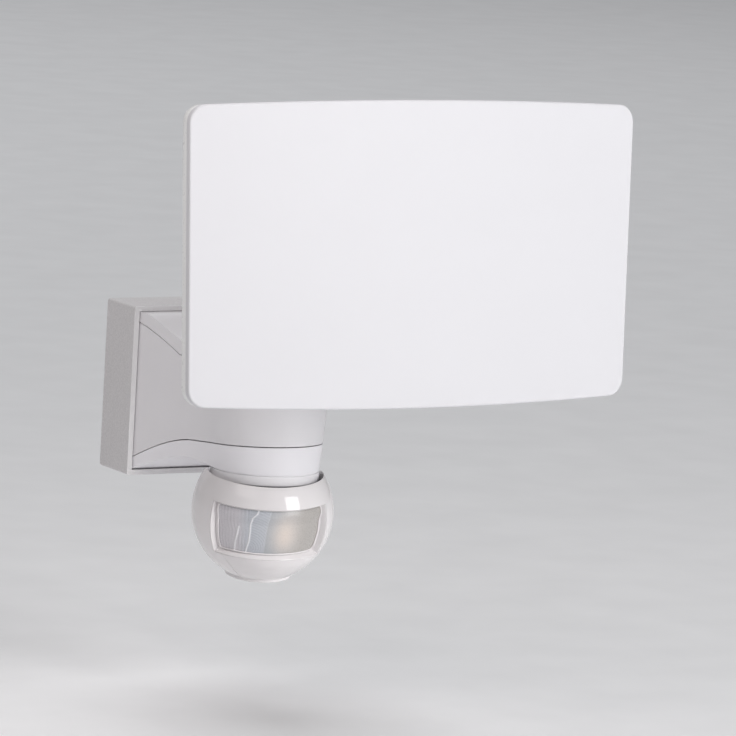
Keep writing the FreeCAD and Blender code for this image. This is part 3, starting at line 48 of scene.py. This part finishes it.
# View of the photograph
SENSOR_WIDTH = 36.0
CAMERA_LENS = 272.7
VIEW_YAW = math.radians(30.44)
VIEW_PITCH = math.radians(8.25)
VIEW_ROLL = math.radians(3.27)
VIEW_TARGET = Vector((41.8, -60.0, 12.6)) * MM
VIEW_DISTANCE = 2081.2 * MM

# Studio: floor, sky and lamps. A lamp has a direction from the part, a distance, a width and height, and a power
FLOOR_DROP = 45.0 * MM
FLOOR_SIZE = 40.0
FLOOR_COLOUR = (0.89, 0.89, 0.895)
SKY_COLOUR = (0.95, 0.965, 1.0)
SKY_STRENGTH = 0.15
LAMPS = {
    "window_lamp": {
        "direction": (0.34, -0.888, 0.30), "distance": 1.5, "size": (0.6, 0.95), "power": 15.5,
        "colour": (1.0, 0.99, 0.99),
    },
    "left_lamp": {
        "direction": (-0.7, -0.38, 0.7), "distance": 0.55, "size": (0.4, 0.4), "power": 0.85,
        "colour": (1.0, 0.93, 0.91),
    },
    "back_lamp": {
        "direction": (0.1, 0.55, 0.83), "distance": 4.5, "size": (3.0, 3.0), "power": 85.0,
        "colour": (0.98, 0.985, 1.0),
    },
}

# Rounded edges on the solids: width, and the sharpest bend that is still left as it is
EDGE_ROUND = 0.25 * MM
EDGE_BEND = math.radians(38)
WELD = 0.001 * MM
EDGE_NODES = ("head_frame", "elbow", "heat_sink")

# Wall box: its grained sides and the paler band along its front edge, a painted highlight where the rim catches
# the light
BOX_COLOUR = (0.74, 0.725, 0.73)
RIM_HIGHLIGHT_COLOUR = (0.93, 0.925, 0.93)
RIM_HIGHLIGHT_DEPTH = 0.35 * MM

# Lens of the sensor, with headings and elevations in degrees from the ball's own front, right and up positive
LENS_R = 23.9 * MM
LENS_WALL = 0.7 * MM
LENS_HALF = 51.2
LENS_LOW = -25.7
LENS_TOP = 16.6
LENS_STEPS = (300, 130)
TOP_LIFT = 1.15 * MM
LIFT_FROM = 2.0
LIFT_TO = 12.0
RIDGE_HEIGHT = 0.16 * MM
RIDGE_HALF_WIDTH = 0.75
LEFT_RIDGE = ((-29.8, 0.0), (-31.2, -8.0), (-33.2, -15.5), (-35.6, -30.0))
MIDDLE_RIDGE = (
    (-11.2, 20.0), (-13.8, 12.6), (-17.6, 8.6), (-19.3, 3.0),
    (-19.4, -6.0), (-20.2, -13.7), (-24.8, -30.0),
)
PANE_EDGE = ((-0.7, 20.0), (-3.5, 6.0), (-5.0, -4.0), (-6.2, -30.0))
PANE_STEP = 0.12 * MM
STREAK_END = -20.0
STREAK_HEIGHT = 0.04 * MM
RING_CENTRE = (-20.0, -20.0)
RING_PITCH = 2.3
RING_HEIGHT = 0.03 * MM
STREAK_TONE = (0.64, 0.62, 0.65)
MILK_TONE = (0.53, 0.555, 0.60)
SHADE_TONE = (0.46, 0.485, 0.515)
RIGHT_TONE = (0.46, 0.44, 0.42)
# Tone of the painted warm glow of the lamp's light on the lens
PAINTED_GLOW_TONE = (0.76, 0.68, 0.62)
RIDGE_TONE = (0.92, 0.92, 0.94)
# Painted shadow under the window's brow: where it starts and how dark it gets
BROW_LOW = 14.0
BROW_SHADE = 0.45
# Painted warm glow of the window lamp's light on the lens: its place and spread
PAINTED_GLOW_PLACE = (12.5, -6.5)
PAINTED_GLOW_SPREAD = (12.0, 19.0)

# Frame of the window. Each ring has its half width, bottom, top, corner and radius from the ball's centre
FRAME_RINGS = (
    (55.3, -27.8, 16.4, 0.5, 24.5 * MM),
    (55.3, -27.8, 16.4, 0.5, 26.2 * MM),
    (55.0, -27.6, 16.3, 0.5, 26.38 * MM),
    (54.7, -27.3, 16.2, 0.5, 26.2 * MM),
    (53.8, -26.9, 16.0, 1.0, 23.5 * MM),
    (50.5, -25.2, 15.6, 2.0, 23.3 * MM),
    (50.5, -25.2, 15.6, 2.0, 22.9 * MM),
)

# Trim bead round the lens: half width, bottom, top and corner, its radius from the centre and its thickness
TRIM_BORDER = (51.0, -25.5, 16.3, 3.0)
TRIM_R = 24.1 * MM
TRIM_BEAD = 0.27 * MM
CORNER_STEPS = 8
SIDE_STEPS = 30


def photo_camera():
    """Camera at the photograph's view, with its roll."""
    ahead = Vector((
        math.sin(VIEW_YAW) * math.cos(VIEW_PITCH),
        math.cos(VIEW_YAW) * math.cos(VIEW_PITCH),
        -math.sin(VIEW_PITCH),
    ))
    side = Vector((math.cos(VIEW_YAW), -math.sin(VIEW_YAW), 0.0))
    up = side.cross(ahead)
    right = side * math.cos(VIEW_ROLL) + up * math.sin(VIEW_ROLL)
    top = up * math.cos(VIEW_ROLL) - side * math.sin(VIEW_ROLL)
    turn = Matrix((right, top, -ahead)).transposed().to_4x4()
    data = bpy.data.cameras.new("photo_camera")
    data.lens = CAMERA_LENS
    data.sensor_width = SENSOR_WIDTH
    data.clip_start = VIEW_DISTANCE / 100
    data.clip_end = VIEW_DISTANCE * 100
    camera = bpy.data.objects.new("photo_camera", data)
    bpy.context.scene.collection.objects.link(camera)
    camera.matrix_world = Matrix.Translation(VIEW_TARGET - ahead * VIEW_DISTANCE) @ turn
    bpy.context.scene.camera = camera


def soft_lamp(name, direction, distance, size, power, colour):
    """A soft rectangular light that looks at the part."""
    data = bpy.data.lights.new(name, "AREA")
    data.shape = "RECTANGLE"
    data.size, data.size_y = size
    data.energy = power
    data.color = colour
    lamp = bpy.data.objects.new(name, data)
    bpy.context.scene.collection.objects.link(lamp)
    away = Vector(direction).normalized()
    lamp.location = VIEW_TARGET + away * distance
    lamp.rotation_euler = away.to_track_quat("Z", "Y").to_euler()


def sky():
    """Even pale light from all round."""
    world = bpy.data.worlds.new("studio_sky")
    bpy.context.scene.world = world
    world.use_nodes = True
    background = world.node_tree.nodes["Background"]
    background.inputs["Color"].default_value = (*SKY_COLOUR, 1.0)
    background.inputs["Strength"].default_value = SKY_STRENGTH


def floor(lowest):
    """Plain pale floor below the part."""
    half = FLOOR_SIZE / 2
    z = lowest - FLOOR_DROP
    mesh = bpy.data.meshes.new("floor")
    mesh.from_pydata([(-half, -half, z), (half, -half, z), (half, half, z), (-half, half, z)], [], [(0, 1, 2, 3)])
    plane = bpy.data.objects.new("floor", mesh)
    bpy.context.scene.collection.objects.link(plane)
    mesh.materials.append(plastic("floor_paint", FLOOR_COLOUR, 0.7, grain=60.0, relief=0.00002))


def studio(lowest):
    bpy.context.scene.view_settings.view_transform = "Standard"
    sky()
    floor(lowest)
    for name, lamp in LAMPS.items():
        soft_lamp(name, **lamp)


class Shader:
    """A principled material and short ways to add the nodes that vary it over the surface."""

    def __init__(self, name):
        self.material = bpy.data.materials.new(name)
        self.material.use_nodes = True
        self.tree = self.material.node_tree
        self.surface = self.tree.nodes["Principled BSDF"]
        self.place = self.node("ShaderNodeTexCoord").outputs["Object"]

    def node(self, kind):
        return self.tree.nodes.new(kind)

    def link(self, source, target):
        self.tree.links.new(source, target)

    def set(self, **values):
        """Constants on the shader's own sockets; an underscore stands for a space in a socket's name."""
        for key, value in values.items():
            self.surface.inputs[key.replace("_", " ")].default_value = value

    def noise(self, scale, detail=2.0, stretch=(1.0, 1.0, 1.0)):
        """Noise with about this many features a metre, drawn out along an axis where stretch is below 1."""
        mapping = self.node("ShaderNodeMapping")
        mapping.inputs["Scale"].default_value = stretch
        self.link(self.place, mapping.inputs["Vector"])
        noise = self.node("ShaderNodeTexNoise")
        noise.inputs["Scale"].default_value = scale
        noise.inputs["Detail"].default_value = detail
        self.link(mapping.outputs["Vector"], noise.inputs["Vector"])
        return noise.outputs["Fac"]

    def spread(self, source, low, high):
        """The source's usual range laid over low to high."""
        ranged = self.node("ShaderNodeMapRange")
        ranged.inputs["From Min"].default_value = 0.3
        ranged.inputs["From Max"].default_value = 0.7
        ranged.inputs["To Min"].default_value = low
        ranged.inputs["To Max"].default_value = high
        self.link(source, ranged.inputs["Value"])
        return ranged.outputs["Result"]

    def tint(self, source, colours):
        """Colour ramp between evenly spaced colours."""
        ramp = self.node("ShaderNodeValToRGB")
        elements = ramp.color_ramp.elements
        while len(elements) < len(colours):
            elements.new(0.5)
        for index, colour in enumerate(colours):
            elements[index].position = 0.3 + 0.4 * index / (len(colours) - 1)
            elements[index].color = (*colour, 1.0)
        self.link(source, ramp.inputs["Fac"])
        return ramp.outputs["Color"]

    def bump(self, height, depth, strength=1.0):
        """Surface relief of this depth in metres."""
        bump = self.node("ShaderNodeBump")
        bump.inputs["Distance"].default_value = depth
        bump.inputs["Strength"].default_value = strength
        self.link(height, bump.inputs["Height"])
        self.link(bump.outputs["Normal"], self.surface.inputs["Normal"])


def shade(colour, factor):
    return tuple(min(1.0, channel * factor) for channel in colour)


def plastic(name, colour, roughness, grain=900.0, relief=0.00001, mottle=0.02, cloud=28.0, **constants):
    """Moulded plastic with a fine grain, a slight cloudiness and uneven gloss."""
    shader = Shader(name)
    clouds = shader.noise(cloud, 3.0)
    shader.link(shader.tint(clouds, [shade(colour, 1 - mottle), colour, shade(colour, 1 + mottle)]),
                shader.surface.inputs["Base Color"])
    fine = shader.noise(grain, 3.0)
    shader.link(shader.spread(fine, roughness - 0.04, roughness + 0.04), shader.surface.inputs["Roughness"])
    shader.bump(fine, relief)
    shader.set(**constants)
    return shader.material


def box_finish():
    """Grained plastic of the wall box, with a painted highlight on its front rim: the rim's front face is paler
    where it catches the light.
    """
    material = plastic("box_plastic", BOX_COLOUR, 0.6, grain=2400.0, relief=0.00007, mottle=0.07, cloud=1500.0)
    tree = material.node_tree
    surface = tree.nodes["Principled BSDF"]
    grained = surface.inputs["Base Color"].links[0].from_socket
    place = tree.nodes.new("ShaderNodeTexCoord")
    split = tree.nodes.new("ShaderNodeSeparateXYZ")
    front = tree.nodes.new("ShaderNodeMath")
    front.operation = "LESS_THAN"
    front.inputs[1].default_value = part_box("wall_base")[0].y + RIM_HIGHLIGHT_DEPTH
    # Painted highlight: the rim's front face takes the paler colour
    mix = tree.nodes.new("ShaderNodeMix")
    mix.data_type = "RGBA"
    mix.inputs["B"].default_value = (*RIM_HIGHLIGHT_COLOUR, 1.0)
    tree.links.new(place.outputs["Object"], split.inputs["Vector"])
    tree.links.new(split.outputs["Y"], front.inputs[0])
    tree.links.new(front.outputs["Value"], mix.inputs["Factor"])
    tree.links.new(grained, mix.inputs["A"])
    tree.links.new(mix.outputs["Result"], surface.inputs["Base Color"])
    return material


def metal(name, colour, roughness, stretch=(1.0, 1.0, 1.0), relief=0.000004):
    """Metal with drawn or turned marks along one axis."""
    shader = Shader(name)
    marks = shader.noise(1600.0, 4.0, stretch)
    shader.link(shader.tint(marks, [shade(colour, 0.9), colour]), shader.surface.inputs["Base Color"])
    shader.link(shader.spread(marks, roughness - 0.06, roughness + 0.08), shader.surface.inputs["Roughness"])
    shader.bump(marks, relief)
    shader.set(Metallic=1.0)
    return shader.material


def circuit_board():
    """Green solder mask with pale copper tracks under it."""
    shader = Shader("circuit_board")
    tracks = shader.noise(420.0, 0.0, (1.0, 0.25, 0.25))
    shader.link(shader.tint(tracks, [(0.01, 0.12, 0.05), (0.015, 0.16, 0.06), (0.04, 0.25, 0.1)]),
                shader.surface.inputs["Base Color"])
    shader.bump(tracks, 0.00003)
    shader.set(Roughness=0.3, Coat_Weight=0.4)
    return shader.material


def lens_finish():
    """Milky lens plastic; its tones come from the mesh, with a painted warm glow of the window lamp's light and a
    painted shadow under the brow.
    """
    shader = Shader("lens_plastic")
    tone = shader.node("ShaderNodeAttribute")
    tone.attribute_name = "tone"
    shader.link(tone.outputs["Color"], shader.surface.inputs["Base Color"])
    fine = shader.noise(2600.0, 2.0)
    shader.link(shader.spread(fine, 0.24, 0.34), shader.surface.inputs["Roughness"])
    shader.bump(fine, 0.000006)
    shader.set(IOR=1.49)
    return shader.material


def finishes():
    """Material for each node, by the piece's name."""
    box = box_finish()
    arm = plastic("arm_plastic", (0.84, 0.83, 0.85), 0.38, grain=1500.0, relief=0.000012)
    # Foot and collar are paler copies of the arm's plastic: painted light, against the panel's shadow on the
    # column above them
    lit_foot = plastic("lit_foot_plastic", (0.93, 0.92, 0.95), 0.36, grain=1500.0, relief=0.000012)
    lit_collar = plastic("lit_collar_plastic", (0.96, 0.95, 0.97), 0.34, grain=1500.0, relief=0.00001)
    ball = plastic("ball_plastic", (0.865, 0.84, 0.845), 0.10, grain=500.0, relief=0.000002, mottle=0.01)
    opal = plastic("opal_plastic", (0.70, 0.70, 0.725), 0.45, grain=700.0, relief=0.000002, mottle=0.004,
                   Specular_IOR_Level=0.3)
    rim = plastic("rim_plastic", (0.90, 0.91, 0.905), 0.3, relief=0.000006)
    inner = plastic("inner_plastic", (0.78, 0.78, 0.78), 0.45)
    dark = plastic("dark_plastic", (0.04, 0.04, 0.045), 0.4)
    steel = metal("bright_steel", (0.62, 0.63, 0.65), 0.3, (1.0, 0.1, 0.1))
    coated = plastic("coated_aluminium", (0.80, 0.805, 0.81), 0.5, grain=1800.0, relief=0.00004)
    board = circuit_board()
    dial = plastic("dial_plastic", (0.34, 0.35, 0.37), 0.42)
    return {
        "wall_base": box,
        "cable_grommet": plastic("grommet_rubber", (0.035, 0.035, 0.036), 0.65),
        "terminal_block": inner,
        "terminal_screws": metal("brass", (0.78, 0.6, 0.3), 0.3),
        "lock_screws": steel,
        "arm_housing": arm,
        "arm_top_cover": arm,
        "arm_bottom_cover": lit_foot,
        "sensor_collar": lit_collar,
        "driver_board": board,
        "driver_coil": dark,
        "driver_capacitor": dark,
        "swivel_tube": steel,
        "swivel_nut": steel,
        "friction_washer": dark,
        "spring_washer": steel,
        "elbow": arm,
        "elbow_cap": arm,
        "diffuser": opal,
        "head_frame": rim,
        "head_seal": plastic("seal_silicone", (0.5, 0.5, 0.5), 0.5),
        "heat_sink": coated,
        "tilt_bolt": steel,
        "tilt_nut": steel,
        "tilt_washers": dark,
        "led_board": plastic("board_lacquer", (0.85, 0.85, 0.85), 0.35),
        "led_chips": plastic("phosphor", (0.9, 0.75, 0.2), 0.4),
        "reflector": inner,
        "panel_screws": steel,
        "sensor_yoke": dark,
        "sensor_shell": ball,
        "window_bezel": ball,
        "sensor_lens": ball,
        "sensor_lower_cover": ball,
        "sensor_board": board,
        "pir_element": steel,
        "trimmers": dark,
        "pivot_pins": steel,
        "time_dial": dial,
        "twilight_dial": dial,
    }


def dress(nodes, materials):
    """Give every solid its finish."""
    for name, material in materials.items():
        slots = nodes[name].material_slots
        if not slots:
            nodes[name].data.materials.append(material)
        for slot in slots:
            slot.material = material


def round_edges(node):
    """Small rounds on the sharp edges of a solid, which catch the light as moulded edges do."""
    weld = node.modifiers.new("weld", "WELD")
    weld.merge_threshold = WELD
    bevel = node.modifiers.new("edge_round", "BEVEL")
    bevel.width = EDGE_ROUND
    bevel.segments = 2
    bevel.limit_method = "ANGLE"
    bevel.angle_limit = EDGE_BEND
    bevel.harden_normals = True


def joint_of(record, name):
    return next(joint for joint in record["behaviour"]["joints"] if joint["name"] == name)


def head_frame_of(record):
    """The ball's centre and its right, back and up directions, from the joints of the sensor."""
    tilt = joint_of(record, "sensor_tilt")
    right = Vector(tilt["axis"]).normalized()
    up = Vector(joint_of(record, "time_dial_turn")["axis"]).normalized()
    return Vector(tilt["pos_m"]), right, up.cross(right), up


def on_ball(head, radius, heading, elevation):
    """A point of the sensor's head at one radius, heading and elevation."""
    centre, right, back, up = head
    turn = math.radians(heading)
    rise = math.radians(elevation)
    flat = math.cos(rise)
    return centre + radius * (right * flat * math.sin(turn) - back * flat * math.cos(turn) + up * math.sin(rise))


def heading_of(line, elevation):
    """Heading of a line that runs down the lens, or None past its top."""
    for (heading_a, top), (heading_b, bottom) in zip(line, line[1:]):
        if bottom <= elevation <= top:
            share = (top - elevation) / (top - bottom)
            return heading_a + share * (heading_b - heading_a)
    return None


def bell(distance, spread):
    return math.exp(-(distance / spread) ** 2)


def blend(first, second, share):
    return tuple(a + (b - a) * share for a, b in zip(first, second))


def smooth_step(value, low, high):
    share = min(1.0, max(0.0, (value - low) / (high - low)))
    return share * share * (3 - 2 * share)


def lift(elevation):
    """The window is shallower at its top, where it passes outside the turntable's skirt."""
    return TOP_LIFT * smooth_step(elevation, LIFT_FROM, LIFT_TO)


def ridge_share(heading, elevation):
    """How much of a bright ridge lies at a place of the lens."""
    share = 0.0
    for ridge in (LEFT_RIDGE, MIDDLE_RIDGE):
        place = heading_of(ridge, elevation)
        if place is not None:
            share = max(share, bell(heading - place, RIDGE_HALF_WIDTH))
    return share


def streaks(heading, elevation):
    """Uneven upright flutes, from -1 to 1."""
    wander = 1.5 * math.sin(math.radians(9.0 * elevation)) + 0.9 * math.sin(math.radians(23.0 * elevation + 40))
    fade = 0.6 + 0.4 * math.sin(0.31 * heading + 0.17 * elevation)
    place = heading + 0.6 * wander
    return fade * (0.55 * math.sin(1.9 * place) + 0.45 * math.sin(4.3 * place + 0.19 * elevation))


def rings(heading, elevation):
    """Fine moulded rings between the flutes and the pane's edge, from -1 to 1."""
    shown = smooth_step(heading, STREAK_END - 2, STREAK_END + 2) * (1 - pane_share(heading, elevation))
    reach = math.hypot(heading - RING_CENTRE[0], elevation - RING_CENTRE[1])
    return shown * math.sin(2 * math.pi * reach / RING_PITCH)


def pane_share(heading, elevation):
    """0 left of the pane's edge and 1 right of it."""
    edge = heading_of(PANE_EDGE, elevation)
    return smooth_step(heading, edge - 0.7, edge + 0.7)


def lens_height(heading, elevation):
    """Relief of the lens: flutes at the left, fine rings in the middle, a step at the pane's edge."""
    fluted = 1 - smooth_step(heading, STREAK_END - 3, STREAK_END + 3)
    height = STREAK_HEIGHT * fluted * streaks(heading, elevation)
    height += RING_HEIGHT * rings(heading, elevation)
    height += RIDGE_HEIGHT * ridge_share(heading, elevation)
    return height - PANE_STEP * pane_share(heading, elevation) * (1 - smooth_step(heading, 8, 30))


def lens_tone(heading, elevation):
    """Colour of the lens: greyish flutes, bluish milk, a painted warm glow of the window lamp's light, a darker
    right side and a painted shadow under the brow.
    """
    tone = blend(STREAK_TONE, MILK_TONE, smooth_step(heading, -34.0, -18.0))
    tone = blend(tone, SHADE_TONE, pane_share(heading, elevation))
    tone = blend(tone, RIGHT_TONE, smooth_step(heading, 4.0, 32.0))
    # Painted glow: the window lamp's warm light on the lens
    painted_glow = bell(heading - PAINTED_GLOW_PLACE[0], PAINTED_GLOW_SPREAD[0]) * bell(elevation - PAINTED_GLOW_PLACE[1], PAINTED_GLOW_SPREAD[1])
    tone = blend(tone, PAINTED_GLOW_TONE, 0.95 * painted_glow)
    if heading < STREAK_END:
        tone = shade(tone, 1 + 0.14 * streaks(heading, elevation))
    tone = shade(tone, 1 + 0.035 * rings(heading, elevation))
    # Painted shadow under the brow at the lens's top
    tone = shade(tone, 1 - BROW_SHADE * smooth_step(elevation, BROW_LOW, LENS_TOP))
    return blend(tone, RIDGE_TONE, 0.9 * ridge_share(heading, elevation))


def lens_cover(head, material):
    """The milky lens with its relief, in place of the plain faceted solid."""
    columns, rows = LENS_STEPS
    points = []
    tones = []
    for row in range(rows + 1):
        elevation = LENS_LOW + (LENS_TOP - LENS_LOW) * row / rows
        for column in range(columns + 1):
            heading = LENS_HALF * (2 * column / columns - 1)
            radius = LENS_R + lift(elevation) + lens_height(heading, elevation)
            points.append(on_ball(head, radius, heading, elevation))
            tones.append((*lens_tone(heading, elevation), 1.0))
    faces = []
    for row in range(rows):
        for column in range(columns):
            corner = row * (columns + 1) + column
            faces.append((corner, corner + 1, corner + columns + 2, corner + columns + 1))
    mesh = bpy.data.meshes.new("lens_cover")
    mesh.from_pydata(points, [], faces)
    colours = mesh.color_attributes.new("tone", "FLOAT_COLOR", "POINT")
    for entry, tone in zip(colours.data, tones):
        entry.color = tone
    mesh.polygons.foreach_set("use_smooth", [True] * len(mesh.polygons))
    mesh.materials.append(material)
    piece = bpy.data.objects.new("lens_cover", mesh)
    bpy.context.scene.collection.objects.link(piece)
    wall = piece.modifiers.new("wall", "SOLIDIFY")
    wall.thickness = LENS_WALL
    wall.offset = -1.0
    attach(piece, "sensor_head")
    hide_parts("sensor_lens")


def border(half, low, top, corner):
    """Headings and elevations round a rounded rectangle, as many for every size."""
    centres = (
        (half - corner, top - corner), (corner - half, top - corner),
        (corner - half, low + corner), (half - corner, low + corner),
    )
    corners = []
    for quarter, (heading, elevation) in enumerate(centres):
        for step in range(CORNER_STEPS + 1):
            angle = math.radians(90 * (quarter + step / CORNER_STEPS))
            corners.append((heading + corner * math.cos(angle), elevation + corner * math.sin(angle)))
    places = []
    for index, (first, second) in enumerate(zip(corners, corners[1:] + corners[:1])):
        side = index % (CORNER_STEPS + 1) == CORNER_STEPS
        count = SIDE_STEPS if side else 1
        for step in range(count):
            places.append(tuple(a + (b - a) * step / count for a, b in zip(first, second)))
    return places


def window_frame(head, material):
    """Frame of the window: broad bevels at the sides, a lip below and hardly any bevel above."""
    rings_of_points = []
    for half, low, top, corner, radius in FRAME_RINGS:
        places = border(half, low, top, corner)
        share = 1.0 if radius < LENS_R else 0.0
        rings_of_points.append([on_ball(head, radius + share * lift(place[1]), *place) for place in places])
    count = len(rings_of_points[0])
    points = [point for ring in rings_of_points for point in ring]
    faces = []
    for ring in range(len(FRAME_RINGS)):
        start = ring * count
        following = (ring + 1) % len(FRAME_RINGS) * count
        for index in range(count):
            after = (index + 1) % count
            faces.append((start + index, start + after, following + after, following + index))
    mesh = bpy.data.meshes.new("window_frame")
    mesh.from_pydata(points, [], faces)
    mesh.materials.append(material)
    piece = bpy.data.objects.new("window_frame", mesh)
    bpy.context.scene.collection.objects.link(piece)
    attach(piece, "sensor_head")
    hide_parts("window_bezel")


def window_trim(head, material):
    """Thin bead round the lens, with rounded corners."""
    path = [on_ball(head, TRIM_R + lift(place[1]), *place) for place in border(*TRIM_BORDER)]
    curve = bpy.data.curves.new("window_trim", "CURVE")
    curve.dimensions = "3D"
    curve.bevel_depth = TRIM_BEAD
    curve.bevel_resolution = 4
    spline = curve.splines.new("POLY")
    spline.points.add(len(path) - 1)
    for point, place in zip(spline.points, path):
        point.co = (*place, 1.0)
    spline.use_cyclic_u = True
    curve.materials.append(material)
    piece = bpy.data.objects.new("window_trim", curve)
    bpy.context.scene.collection.objects.link(piece)
    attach(piece, "sensor_head")


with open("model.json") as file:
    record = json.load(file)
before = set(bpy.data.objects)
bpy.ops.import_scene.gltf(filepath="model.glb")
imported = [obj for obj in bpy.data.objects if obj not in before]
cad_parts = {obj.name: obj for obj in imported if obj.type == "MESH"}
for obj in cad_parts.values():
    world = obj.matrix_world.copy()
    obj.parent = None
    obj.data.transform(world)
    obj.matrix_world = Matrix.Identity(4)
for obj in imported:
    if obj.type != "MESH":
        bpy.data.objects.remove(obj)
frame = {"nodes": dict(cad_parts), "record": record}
cad_low, cad_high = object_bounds()
photo_camera()
studio(cad_low.z)
materials = finishes()
dress(frame["nodes"], materials)
for name in EDGE_NODES:
    round_edges(frame["nodes"][name])
sensor = head_frame_of(frame["record"])
lens_cover(sensor, lens_finish())
window_frame(sensor, materials["sensor_shell"])
window_trim(sensor, materials["sensor_shell"])
